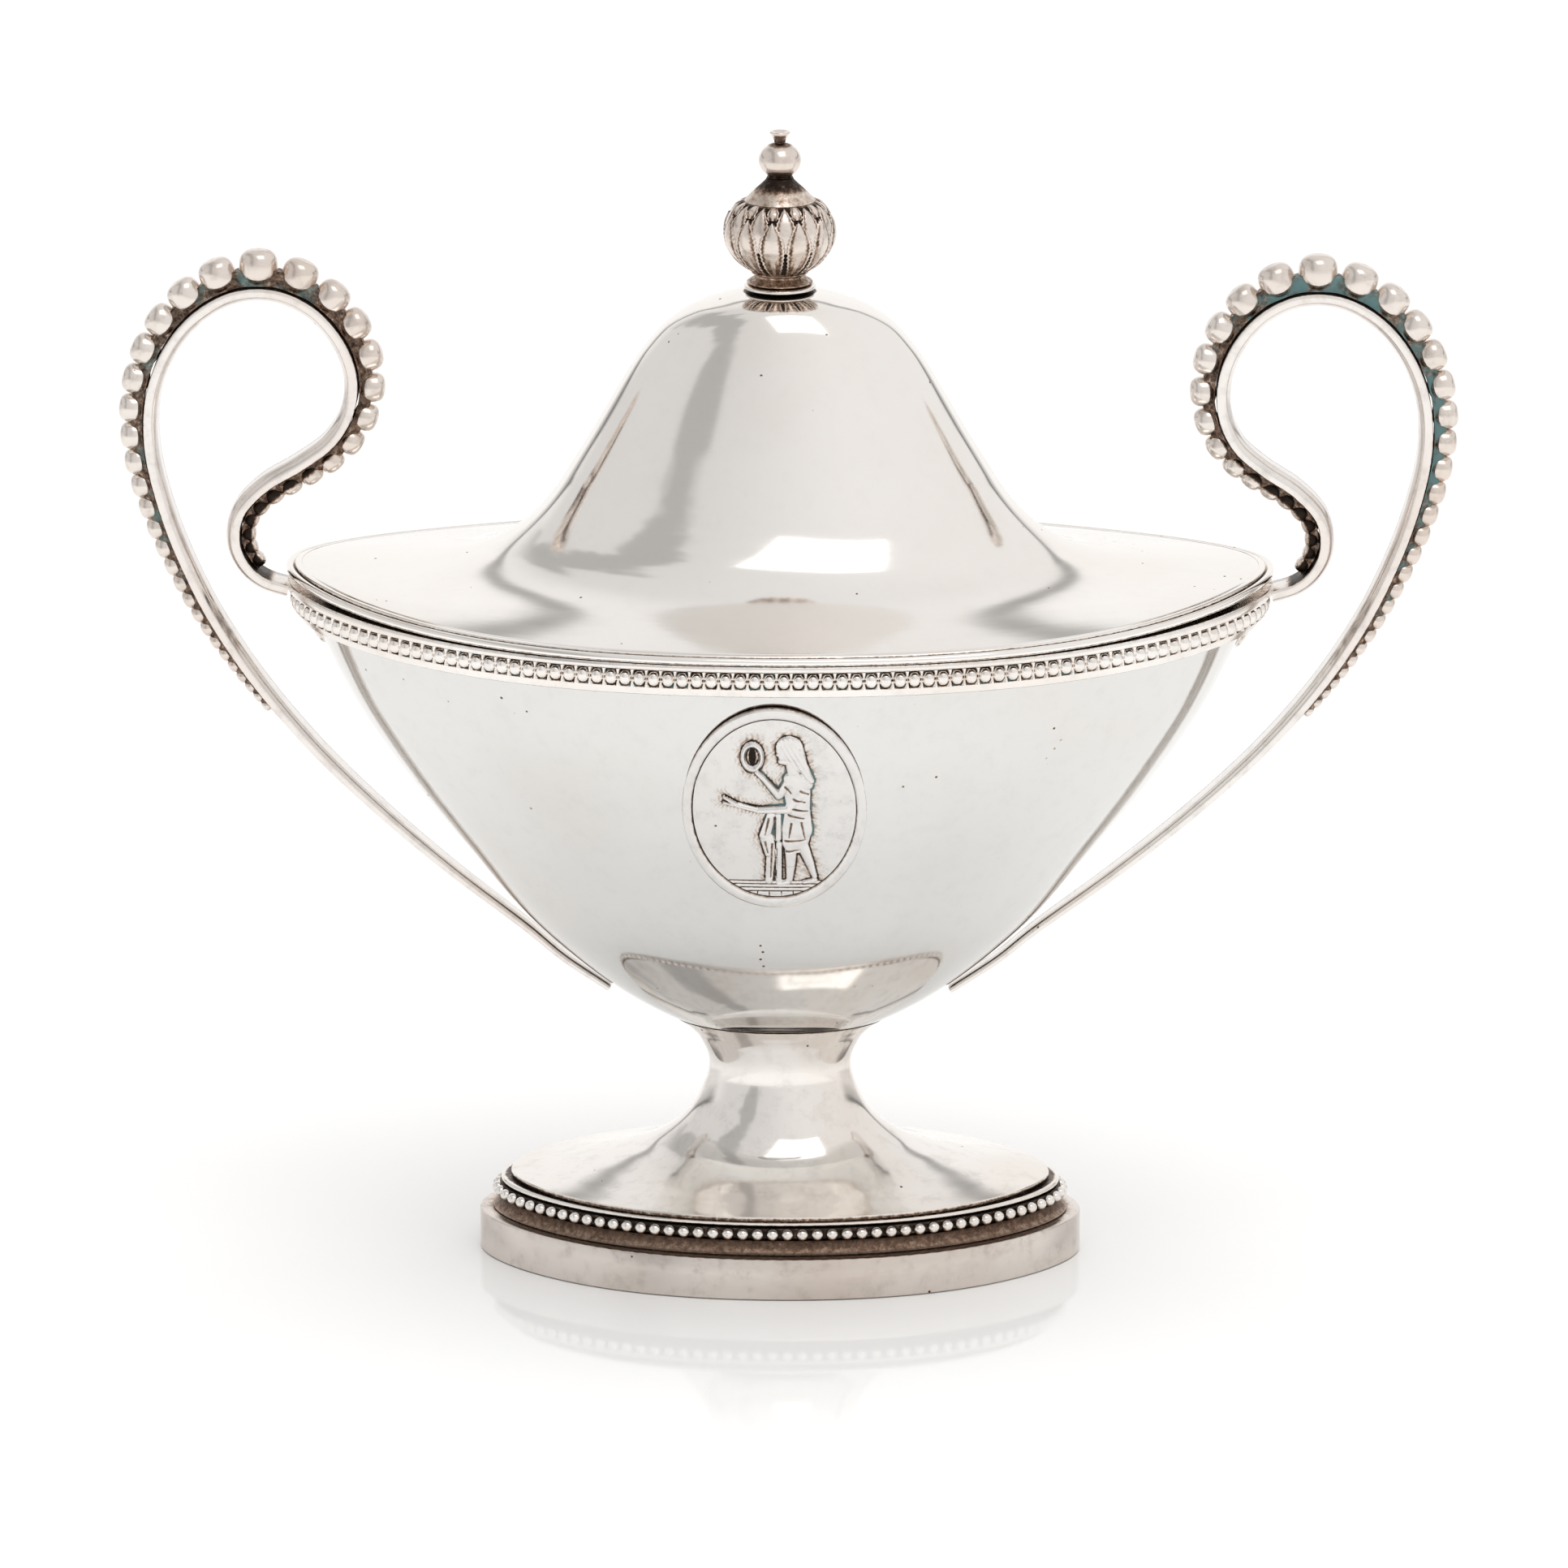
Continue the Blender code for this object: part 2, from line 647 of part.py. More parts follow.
def make_handle(name, side):
    rings = []
    for station in range(STRIP_STATIONS + 1):
        distance = PATH_LENGTH * station / STRIP_STATIONS
        rings.append(section_ring(distance, strip_section(distance), side))
    loft(f"{name}_handle_strip", rings, POLISHED, caps=(True, True))
    places = bead_places()
    first, first_pitch = places[0]
    sizes = [(first - first_pitch / 2, END_HALF_WIDTH * first_pitch, END_HEIGHT * first_pitch)]
    for i, (place, pitch) in enumerate(places):
        sizes.append((place, BEAD_HALF_WIDTH * pitch, BEAD_HEIGHT * pitch))
        following = places[min(i + 1, len(places) - 1)][0]
        valley = (place + following) / 2 if i + 1 < len(places) else place + pitch / 2
        sizes.append((valley, VALLEY_HALF_WIDTH * pitch, VALLEY_HEIGHT * pitch))
    rings = [section_ring(place, bead_section(width, height), side) for place, width, height in sizes]
    loft(f"{name}_handle_beads", rings, TARNISHED, caps=(True, True))


def make_tongue(name, side):
    """The small tongue on the bowl's end, under the rim strips, that backs the handle's upper joint."""
    rings = []
    for step in range(4):
        share = step / 3
        z = TONGUE_TOP + (TONGUE_BOTTOM - TONGUE_TOP) * share
        half = TONGUE_WIDTH / 2 * math.sqrt(1 - TONGUE_ROUNDING * share**2)
        base = bowl_half_length(z - bowl_rise(z)) + GAP + 0.25
        top = base + TONGUE_THICKNESS * (1 - TONGUE_THINNING * share)
        corners = ((base, -half), (base, half), (top, half), (top, -half))
        rings.append([(side * x, y, z) for x, y in corners])
    loft(f"{name}_handle_tongue", rings, SATIN, caps=(True, True))


# ---------------------------------------------------------------- medallion


def medallion_ring(scale, lift):
    """An oval on the bowl's front, raised from it by lift."""
    ring = []
    for angle in angles(MEDAL_SIDES):
        x = MEDAL_HALF_WIDTH * scale * math.cos(angle)
        z = MEDAL_CENTRE + MEDAL_HALF_HEIGHT * scale * math.sin(angle)
        ring.append(bowl_front(x, z) + bowl_front_normal(x, z) * lift)
    return ring


def make_medallion():
    face = GAP + PLAQUE_THICKNESS
    inside = 1 - (FRAME_WIDTH + GAP) / MEDAL_HALF_WIDTH
    rings = [medallion_ring(inside * share, face) for share in PLAQUE_RINGS]
    thicken(loft("medallion_plaque", rings, SATIN, caps=(False, True)), PLAQUE_THICKNESS)
    inner = 1 - FRAME_WIDTH / MEDAL_HALF_WIDTH
    shoulder = GAP + FRAME_SHOULDER * FRAME_HEIGHT
    rings = [
        medallion_ring(1.0, GAP),
        medallion_ring(1.0, shoulder),
        medallion_ring((1 + inner) / 2, GAP + FRAME_HEIGHT),
        medallion_ring(inner, shoulder),
        medallion_ring(inner, GAP),
    ]
    loft("medallion_frame", rings, SATIN, ring_of_rings=True)


make_bowl()
make_rim()
make_foot()
make_lid()
make_finial()
make_fastening()
for handle_name, handle_side in (("left", -1), ("right", 1)):
    make_handle(handle_name, handle_side)
    make_tongue(handle_name, handle_side)
make_medallion()
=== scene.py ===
import math

import bmesh
import bpy
import numpy as np
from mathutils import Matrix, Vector


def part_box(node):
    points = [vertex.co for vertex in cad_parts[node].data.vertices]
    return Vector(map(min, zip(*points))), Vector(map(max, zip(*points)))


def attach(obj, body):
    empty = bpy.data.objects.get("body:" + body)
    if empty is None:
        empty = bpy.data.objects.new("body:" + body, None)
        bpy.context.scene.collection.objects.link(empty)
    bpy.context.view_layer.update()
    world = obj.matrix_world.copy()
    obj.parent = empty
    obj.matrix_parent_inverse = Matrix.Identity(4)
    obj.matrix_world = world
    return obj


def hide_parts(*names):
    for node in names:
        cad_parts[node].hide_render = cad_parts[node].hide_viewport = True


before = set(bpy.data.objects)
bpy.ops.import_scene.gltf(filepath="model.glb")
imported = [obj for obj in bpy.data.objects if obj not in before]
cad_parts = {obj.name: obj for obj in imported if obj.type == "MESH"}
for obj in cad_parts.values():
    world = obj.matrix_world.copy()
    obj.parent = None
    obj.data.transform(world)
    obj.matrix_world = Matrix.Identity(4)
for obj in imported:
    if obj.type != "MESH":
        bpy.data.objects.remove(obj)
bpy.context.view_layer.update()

# Every size below is in millimetres, in the frame of the CAD model: X from handle to handle, -Y the front.
MM = 0.001
TAU = math.tau


def cad(node):
    """The lowest and highest corner of a CAD node, in millimetres."""
    low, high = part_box(node)
    return np.array(low) / MM, np.array(high) / MM


BOWL_HIGH = cad("bowl_body")[1]
LID_HIGH = cad("lid_shell")[1]
BUTTON_TOP = cad("finial_button")[1][2]

TIP = 0.16  # how far the ends of every oval are drawn in
BOWL_OVAL = 0.6
RIM_LENGTH, RIM_WIDTH = BOWL_HIGH[0], BOWL_HIGH[1]
RIM = (RIM_LENGTH, RIM_WIDTH)
RIM_RISE, WIRE_RISE, LID_RISE = 1.4, 2.1, 3.5
BOWL_TOP = BOWL_HIGH[2] - RIM_RISE
RISE_STARTS = 60.0
BOWL_PROFILE = [
    (1.2, 36.5),
    (9.0, 37.4),
    (17.4, 39.8),
    (28.6, 46.3),
    (40.8, 56.7),
    (51.2, 68.9),
    (60.9, 81.0),
    (69.3, 93.2),
    (75.6, 105.4),
    (RIM_LENGTH, BOWL_TOP - 0.8),
]
PLINTH_LENGTH, PLINTH_WIDTH, PLINTH_TOP = cad("plinth_band")[1]
PLINTH = (PLINTH_LENGTH, PLINTH_WIDTH)
LID_LENGTH, LID_WIDTH = LID_HIGH[0], LID_HIGH[1]
LID = (LID_LENGTH, LID_WIDTH)
LID_BOTTOM = cad("lid_moulding")[0][2]
LID_EDGE = LID_BOTTOM + 1.25
# Half-length, half-width and height of the dome, from the top down.
DOME_PROFILE = [
    (1.9, 1.9, 162.4),
    (6.0, 5.9, 162.15),
    (10.0, 8.6, 161.2),
    (14.0, 10.3, 159.8),
    (18.0, 11.9, 157.3),
    (21.2, 13.1, 153.9),
    (24.3, 14.4, 149.5),
    (30.2, 17.4, 139.4),
    (34.7, 20.3, 132.1),
]
SLOPE_AT_ENDS, SLOPE_AT_SIDES = 1.71, 2.6
EVEN_AT_ENDS, EVEN_AT_SIDES = 0.09, 0.45

SIDES = 320  # columns round the smooth ovals


# ---------------------------------------------------------------- curves


def smooth(points, steps):
    """A Catmull-Rom curve through the points, as an array."""
    points = np.array(points, float)
    knots = np.vstack([2 * points[0] - points[1], points, 2 * points[-1] - points[-2]])
    curve = []
    for a, b, c, d in zip(knots, knots[1:], knots[2:], knots[3:]):
        for t in np.arange(steps) / steps:
            curved = (2 * a - 5 * b + 4 * c - d) * t**2 + (3 * b - a - 3 * c + d) * t**3
            curve.append(0.5 * (2 * b + (c - a) * t + curved))
    curve.append(points[-1])
    return np.array(curve)


def arc(centre, radius, start, end, steps=8):
    """Points on an arc, from one angle to another, in degrees."""
    turn = np.radians(np.linspace(start, end, steps))
    return [(centre[0] + radius * math.cos(a), centre[1] + radius * math.sin(a)) for a in turn]


def turns(count):
    """Even angles round a full turn."""
    return np.arange(count) * TAU / count


def column(*values):
    return np.array(values)[:, None]


def oval(length, width, angle):
    """Points of an oval whose ends are drawn in, at each angle."""
    x = length * np.cos(angle)
    y = width * np.sin(angle) * (1 - TIP * np.cos(angle) ** 4)
    return x, y


def even_turns(length, width, count):
    """Angles that place so many points at even distances round an oval."""
    angle = np.linspace(0, TAU, 8001)
    x, y = oval(length, width, angle)
    run = np.concatenate([[0], np.cumsum(np.hypot(np.diff(x), np.diff(y)))])
    return np.interp(np.arange(count) / count * run[-1], run, angle)


def soft_step(value, low, high):
    """Rises smoothly from 0 at low to 1 at high."""
    t = np.clip((value - low) / (high - low), 0, 1)
    return t * t * (3 - 2 * t)


# ---------------------------------------------------------------- meshes


class Shape:
    """Collects grids of points, with their tarnish (in places painted shade too) and verdigris, into one
    mesh.
    """

    def __init__(self):
        self.points, self.faces, self.tarnish, self.green = [], [], [], []
        self.count = 0

    def grid(self, points, around=True, section=False, caps=(False, False), tarnish=0.0, green=0.0):
        """Adds rows of points. around closes each row on itself, section joins the last row to the first."""
        points = np.asarray(points, float)
        rows, columns = points.shape[:2]
        index = self.count + np.arange(rows * columns).reshape(rows, columns)
        if around:
            index = np.hstack([index, index[:, :1]])
        if section:
            index = np.vstack([index, index[:1]])
        quads = np.stack([index[:-1, :-1], index[:-1, 1:], index[1:, 1:], index[1:, :-1]], axis=-1)
        self.faces.extend(quads.reshape(-1, 4).tolist())
        self._add(points.reshape(-1, 3), tarnish, green, (rows, columns))
        for wanted, row in zip(caps, (0, -1)):
            if wanted:
                centre = self.count
                self._add(points[row].mean(axis=0)[None], np.mean(tarnish), np.mean(green), (1, 1))
                edge = index[row]
                self.faces.extend([[a, b, centre] for a, b in zip(edge[:-1].tolist(), edge[1:].tolist())])
        return self

    def _add(self, points, tarnish, green, shape):
        self.points.append(points)
        self.tarnish.append(np.broadcast_to(tarnish, shape).ravel())
        self.green.append(np.broadcast_to(green, shape).ravel())
        self.count += len(points)

    def make(self, name, material, body, slot, *nodes, sharp=38):
        mesh = bpy.data.meshes.new(name)
        mesh.from_pydata(np.vstack(self.points) * MM, [], self.faces)
        for label, values in (("tarnish", self.tarnish), ("verdigris", self.green)):
            attribute = mesh.attributes.new(label, "FLOAT", "POINT")
            attribute.data.foreach_set("value", np.clip(np.concatenate(values), 0, 1).astype(np.float32))
        work = bmesh.new()
        work.from_mesh(mesh)
        bmesh.ops.recalc_face_normals(work, faces=work.faces)
        work.to_mesh(mesh)
        work.free()
        mesh.shade_smooth()
        mesh.set_sharp_from_angle(angle=math.radians(sharp))
        mesh.materials.append(material)
        obj = bpy.data.objects.new(name, mesh)
        bpy.context.scene.collection.objects.link(obj)
        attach(obj, body)
        if nodes:
            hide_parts(*nodes)
        return obj


def oval_rows(section, length, width, rise=0.0, sides=SIDES, angle=None):
    """Rows of an oval ring. A section point is (outward, height) or (outward, height, its own rise)."""
    angle = turns(sides) if angle is None else angle
    rows = []
    for point in section:
        x, y = oval(length + point[0], width + point[0], angle)
        lift = point[2] if len(point) > 2 else rise
        rows.append(np.stack([x, y, point[1] + lift * np.cos(angle) ** 4], axis=-1))
    return np.array(rows)


def ring(name, section, ends, material, body, slot, node, tarnish_and_shade_levels, rise=0.0):
    """Makes an oval ring round (length, width) from its section, with the tarnish, and in places painted
    shade, of each section point.
    """
    rows = oval_rows(section, *ends, rise)
    Shape().grid(rows, section=True, tarnish=tarnish_and_shade_levels).make(name, material, body, slot, node)


def outline_rows(outline, rise=None):
    """Rows of ovals, one for each (half-length, half-width, height), with a rise at the ends by height."""
    angle = turns(SIDES)
    rows = []
    for a, b, z in outline:
        x, y = oval(a, b, angle)
        lift = rise(z) * np.cos(angle) ** 4 if rise else 0 * angle
        rows.append(np.stack([x, y, z + lift], axis=-1))
    return np.array(rows)


def turned_rows(profile, sides=96):
    """Rows of a turned form, from its (radius, height) profile."""
    cosine, sine = np.cos(turns(sides)), np.sin(turns(sides))
    return np.array([np.stack([r * cosine, r * sine, 0 * sine + z], axis=-1) for r, z in profile])


def bead(shape, centre, along, up, radii, rings=9, sides=14, tarnish_below=-2.0, fullness=1.0):
    """Adds an ellipsoid whose radii run along, across and up. A fullness under 1 fills out its corners."""
    along, up = np.array(along, float), np.array(up, float)
    across = np.cross(up, along)
    latitude = np.linspace(-math.pi / 2, math.pi / 2, rings + 2)[1:-1]
    angle = turns(sides)
    high = (np.sign(latitude) * np.abs(np.sin(latitude)) ** fullness)[:, None] + 0 * angle
    ring = (np.cos(latitude) ** fullness)[:, None]
    points = (
        np.array(centre)
        + (radii[0] * ring * np.cos(angle))[..., None] * along
        + (radii[1] * ring * np.sin(angle))[..., None] * across
        + (radii[2] * high)[..., None] * up
    )
    shape.grid(points, caps=(True, True), tarnish=soft_step(tarnish_below - high, -0.25, 0.4))


# ---------------------------------------------------------------- materials


class Nodes:
    """A short way to write the nodes of a material or of the world."""

    def __init__(self, owner, coordinates="Object"):
        owner.use_nodes = True
        self.tree = owner.node_tree
        self.place = self.add("ShaderNodeTexCoord").outputs[coordinates]

    def add(self, kind, inputs=None, **settings):
        node = self.tree.nodes.new(kind)
        for key, value in settings.items():
            setattr(node, key, value)
        for key, value in (inputs or {}).items():
            self.put(node.inputs[key], value)
        return node

    def put(self, socket, value):
        if isinstance(value, bpy.types.NodeSocket):
            self.tree.links.new(value, socket)
        else:
            socket.default_value = value

    def math(self, operation, first, second=0.0, third=0.0):
        node = self.add("ShaderNodeMath", {0: first, 1: second, 2: third}, operation=operation)
        return node.outputs[0]

    def noise(self, scale, detail=3.0, stretch=None, roughness=0.55, distortion=0.0):
        place = self.place
        if stretch:
            place = self.add("ShaderNodeMapping", {"Vector": place, "Scale": stretch}).outputs[0]
        inputs = {"Vector": place, "Scale": scale, "Detail": detail}
        inputs |= {"Roughness": roughness, "Distortion": distortion}
        return self.add("ShaderNodeTexNoise", inputs).outputs["Fac"]

    def spread(self, value, low, high, to_low=0.0, to_high=1.0):
        inputs = {"Value": value, "From Min": low, "From Max": high, "To Min": to_low, "To Max": to_high}
        return self.add("ShaderNodeMapRange", inputs, interpolation_type="SMOOTHSTEP").outputs[0]

    def mix(self, share, first, second, blend="MIX"):
        node = self.add("ShaderNodeMix", data_type="RGBA", blend_type=blend)
        self.put(node.inputs["Factor"], share)
        self.put(node.inputs["A"], first)
        self.put(node.inputs["B"], second)
        return node.outputs["Result"]

    def attribute(self, name):
        return self.add("ShaderNodeAttribute", attribute_name=name).outputs["Fac"]

    def ramp(self, value, stops):
        node = self.add("ShaderNodeValToRGB", {"Fac": value})
        elements = node.color_ramp.elements
        while len(elements) < len(stops):
            elements.new(0.5)
        for element, (position, colour) in zip(elements, stops):
            element.position = position
            element.color = (*colour, 1.0)
        return node.outputs["Color"]


# Colours from clean silver to the darkest tarnish; they also colour the painted shade that is stored along
# with the tarnish.
TARNISH_AND_SHADE_COLOURS = [
    (0.0, (1, 1, 1)),
    (0.3, (0.72, 0.62, 0.54)),
    (0.62, (0.27, 0.2, 0.16)),
    (1.0, (0.04, 0.032, 0.028)),
]


def silver(name, light, warm, roughness, scratches=1.0, pits=0.9, bloom=0.2, grain=1.1):
    """Old silver: warm clouds, fine polishing scratches, pits, and the tarnish (in places painted shade) and
    verdigris of the mesh.
    """
    material = bpy.data.materials.new(name)
    n = Nodes(material)
    shader = material.node_tree.nodes["Principled BSDF"]
    clouds = n.spread(n.noise(22, 3, distortion=0.3), 0.4, 0.75)
    colour = n.mix(clouds, (*light, 1), (*warm, 1))
    film = n.spread(n.noise(310, 5, roughness=0.7), 0.46, 0.74, 0.0, bloom)
    colour = n.mix(film, colour, tuple(0.68 * channel for channel in warm) + (1,))
    dots = n.add("ShaderNodeTexVoronoi", {"Vector": n.place, "Scale": 420.0}).outputs["Distance"]
    rare = n.spread(n.noise(150, 1), 0.64, 0.68)
    spots = n.math("MULTIPLY", n.spread(dots, 0.13, 0.06), n.math("MULTIPLY", rare, pits))
    # This attribute holds tarnish and, on the lid moulding and the medallion frame, painted shade as well.
    tarnish_and_shade_mask = n.attribute("tarnish")
    broken = n.math("MULTIPLY_ADD", n.math("SUBTRACT", n.noise(1100, 4, roughness=0.75), 0.5), grain, tarnish_and_shade_mask)
    worn_and_shaded = n.math("MULTIPLY", n.spread(broken, 0.15, 0.9), n.spread(tarnish_and_shade_mask, 0.0, 0.12))
    worn_and_shaded = n.math("MAXIMUM", worn_and_shaded, spots)
    colour = n.mix(1.0, colour, n.ramp(worn_and_shaded, TARNISH_AND_SHADE_COLOURS), "MULTIPLY")
    patina = n.attribute("verdigris")
    patches = n.math("MULTIPLY_ADD", n.noise(330, 4), 1.9, n.math("SUBTRACT", patina, 1.5))
    patches = n.spread(patches, 0.0, 0.5)
    green = n.math("MULTIPLY", patches, n.spread(patina, 0.05, 0.3))
    colour = n.mix(green, colour, (0.10, 0.19, 0.19, 1))
    n.put(shader.inputs["Base Color"], colour)
    n.put(shader.inputs["Metallic"], n.spread(green, 0.0, 1.0, 1.0, 0.35))
    streaks = n.noise(60, 3, stretch=(1.0, 1.0, 26.0))
    hazy = n.math("MULTIPLY_ADD", n.math("SUBTRACT", streaks, 0.5), 0.09, roughness)
    hazy = n.math("MULTIPLY_ADD", worn_and_shaded, 0.3, hazy)
    hazy = n.math("MULTIPLY_ADD", film, 0.12, hazy)
    n.put(shader.inputs["Roughness"], hazy)
    waves = n.noise(55, 2)
    lines = n.noise(240, 2, stretch=(1.0, 1.0, 22.0))
    height = n.math("MULTIPLY_ADD", waves, 0.00004, n.math("MULTIPLY", lines, 0.0000012 * scratches))
    height = n.math("SUBTRACT", height, n.math("MULTIPLY", worn_and_shaded, 0.00003))
    bump = n.add("ShaderNodeBump", {"Strength": 1.0, "Distance": 1.0, "Height": height})
    n.put(shader.inputs["Normal"], bump.outputs["Normal"])
    return material


BOWL_SILVER = silver("silver_bowl", (0.74, 0.735, 0.72), (0.725, 0.705, 0.68), 0.07, 0.6, 0.8, 0.12)
LID_SILVER = silver("silver_lid", (0.90, 0.87, 0.84), (0.87, 0.83, 0.785), 0.1, 1.6, 0.9, 0.06)
FOOT_SILVER = silver("silver_foot", (0.86, 0.825, 0.79), (0.79, 0.72, 0.655), 0.1, 1.2, 1.0, 0.3)
PLINTH_SILVER = silver("silver_plinth", (0.73, 0.675, 0.63), (0.62, 0.54, 0.48), 0.2, 1.0, 1.0, 0.5)
TRIM_SILVER = silver("silver_trim", (0.88, 0.85, 0.82), (0.82, 0.76, 0.71), 0.15, 1.0, 0.6, 0.3)
STRIP_SILVER = silver("silver_strip", (0.84, 0.80, 0.77), (0.77, 0.70, 0.65), 0.16, 1.0, 0.8, 0.45)
RELIEF_SILVER = silver("silver_relief", (0.76, 0.745, 0.73), (0.72, 0.69, 0.67), 0.24, 1.0, 0.7, 0.4, 0.8)
CHASED = silver("silver_chased", (0.80, 0.74, 0.69), (0.72, 0.62, 0.55), 0.2, 1.0, 0.9, 0.5)
COVE_SILVER = silver("silver_cove", (0.66, 0.58, 0.52), (0.56, 0.47, 0.41), 0.28, 1.0, 0.8, 0.5, 0.5)


# ---------------------------------------------------------------- bowl

BOWL_CURVE = smooth(BOWL_PROFILE, 14)


def bowl_rise(height):
    share = np.clip((height - RISE_STARTS) / (BOWL_TOP - RISE_STARTS), 0, None)
    return RIM_RISE * share**2


def bowl_front(x, height):
    """Points of the bowl's front face at x and a height."""
    length = np.interp(height, BOWL_CURVE[:, 1], BOWL_CURVE[:, 0])
    cosine = x / length
    y = -length * BOWL_OVAL * np.sqrt(1 - cosine**2) * (1 - TIP * cosine**4)
    return np.stack([x, y, height + 0 * x], axis=-1)


def bowl_front_normal(x, height):
    step = 0.2
    along_x = bowl_front(x + step, height) - bowl_front(x - step, height)
    along_z = bowl_front(x, height + step) - bowl_front(x, height - step)
    normal = np.cross(along_x, along_z)
    return normal / np.linalg.norm(normal, axis=-1, keepdims=True)


def make_bowl():
    wall = 1.0
    outer = [(a, a * BOWL_OVAL, z) for a, z in BOWL_CURVE] + [(RIM_LENGTH, RIM_WIDTH, BOWL_TOP - 0.1)]
    inner = [(a - wall, a * BOWL_OVAL - wall, z + 0.35) for a, z in BOWL_CURVE[18:]]
    inner[-1] = (RIM_LENGTH - wall, RIM_WIDTH - wall, BOWL_TOP)
    rows = outline_rows([*outer, *inner[::-1]], bowl_rise)
    height = rows[..., 2]
    outside = np.arange(len(rows)) < len(outer)
    seam = 0.4 * np.exp(-(((height - 39.9) / 0.3) ** 2))
    under_rim = 0.45 * soft_step(height - bowl_rise(BOWL_TOP) * np.cos(turns(SIDES)) ** 4, 105.7, 106.9)
    inside = 0.16
    tarnish = np.where(outside[:, None], seam + under_rim, inside)
    shape = Shape().grid(rows, caps=(True, True), tarnish=tarnish)
    shape.make("bowl", BOWL_SILVER, "root", "polished_silver", "bowl_body")


def wall_at(height):
    """Where a strip's inner side may lie, outward from the rim oval, clear of the bowl's leaning face."""
    length = np.interp(height, BOWL_CURVE[:, 1], BOWL_CURVE[:, 0])
    return 0.35 - BOWL_OVAL * (RIM_LENGTH - length)


RIM_BEADS = 173
RIM_BEAD_STEPS = 16
RIM_BEAD_PITCH, RIM_BEAD_OUT = 2.37, 0.88
RIM_BEAD_HALF_WIDTH, RIM_BEAD_HALF_HEIGHT, RIM_BEAD_POWER = 0.98, 1.22, 2.2
BAND_LOW, BAND_TOP = 108.05, 110.85


def make_rim():
    fillet = [
        (wall_at(106.6), 106.6),
        (0.12, 106.6),
        (0.34, 106.72),
        (0.62, 107.6),
        (0.62, 107.85),
        (0.45, 108.0),
        (wall_at(107.8), 107.8),
    ]
    tarnish_and_shade_levels = column(0.5, 0.6, 0.15, 0.0, 0.1, 0.7, 0.7)
    look = (TRIM_SILVER, "root", "polished_silver")
    ring("rim_plain_strip", fillet, RIM, *look, "rim_fillet", tarnish_and_shade_levels, RIM_RISE)

    wire = [
        (0.6, 111.0, RIM_RISE),
        (1.75, 111.0, RIM_RISE),
        (2.05, 111.12, RIM_RISE),
        (2.2, 111.35, RIM_RISE),
        (2.25, 111.6, 0.5 * (RIM_RISE + WIRE_RISE)),
        (2.2, 111.8, WIRE_RISE),
        (2.05, 112.05, WIRE_RISE),
        (-1.2, 112.05, WIRE_RISE),
        (-1.2, 111.35, RIM_RISE),
        (0.6, 111.35, RIM_RISE),
    ]
    tarnish_and_shade_levels = column(0.9, 0.8, 0.3, 0.05, 0.0, 0.1, 0.4, 0.3, 0.3, 0.9)
    ring("rim_wire_strip", wire, RIM, *look, "rim_wire", tarnish_and_shade_levels)

    angle = even_turns(RIM_LENGTH, RIM_WIDTH, RIM_BEADS * RIM_BEAD_STEPS)
    phase = (np.arange(len(angle)) % RIM_BEAD_STEPS) / RIM_BEAD_STEPS - 0.5
    along = np.abs(phase) * RIM_BEAD_PITCH
    half_height = (BAND_TOP - BAND_LOW) / 2
    middle = (BAND_TOP + BAND_LOW) / 2
    rows, tarnish_and_shade_levels, green = [], [], []
    for v in np.linspace(-1, 1, 19):
        up = abs(v) * half_height
        dome = 1 - (along / RIM_BEAD_HALF_WIDTH) ** RIM_BEAD_POWER
        dome = np.sqrt(np.clip(dome - (up / RIM_BEAD_HALF_HEIGHT) ** RIM_BEAD_POWER, 0, 1))
        gap = np.abs(RIM_BEAD_PITCH / 2 - along)
        bar_width = 0.15 + 0.3 * abs(v) ** 1.6
        bar = 0.5 * np.clip(1 - (gap / bar_width) ** 2, 0, 1) ** 0.5
        edge = 0.3 * soft_step(abs(v), 0.86, 0.97)
        relief = np.maximum(np.maximum(dome, bar), edge)
        outward = RIM_BEAD_OUT + relief
        x, y = oval(RIM_LENGTH + outward, RIM_WIDTH + outward, angle)
        rows.append(np.stack([x, y, middle + v * half_height + RIM_RISE * np.cos(angle) ** 4], axis=-1))
        tarnish_and_shade_levels.append(0.8 - 0.8 * soft_step(relief, 0.0, 0.4))
        green.append(0.8 * (1 - soft_step(relief, 0.05, 0.4)))
    for height in (BAND_TOP, BAND_LOW):
        rows.append(oval_rows([(wall_at(height), height)], *RIM, RIM_RISE, angle=angle)[0])
        tarnish_and_shade_levels.append(0 * angle + 0.8)
        green.append(0 * angle)
    shape = Shape().grid(rows, section=True, tarnish=np.array(tarnish_and_shade_levels), green=np.array(green))
    shape.make("rim_beading", TRIM_SILVER, "root", "satin_silver", "rim_bead_band", sharp=60)


# ---------------------------------------------------------------- foot

FOOT_PROFILE = [
    (44.4, 26.6, 13.3),
    (38.5, 23.3, 14.35),
    (32.5, 19.8, 15.6),
    (26.5, 16.7, 17.15),
    (20.8, 13.8, 19.3),
    (15.6, 11.1, 23.0),
    (12.8, 9.5, 27.6),
    (11.7, 8.8, 32.3),
    (13.2, 9.3, 36.2),
    (15.1, 9.85, 38.2),
    (17.2, 10.4, 39.65),
]
FOOT_BEADS = 95
FOOT_BEADS_IN, FOOT_BEAD_HEIGHT = 3.0, 10.25
FOOT_BEAD_RADII = (1.02, 0.93, 0.95)


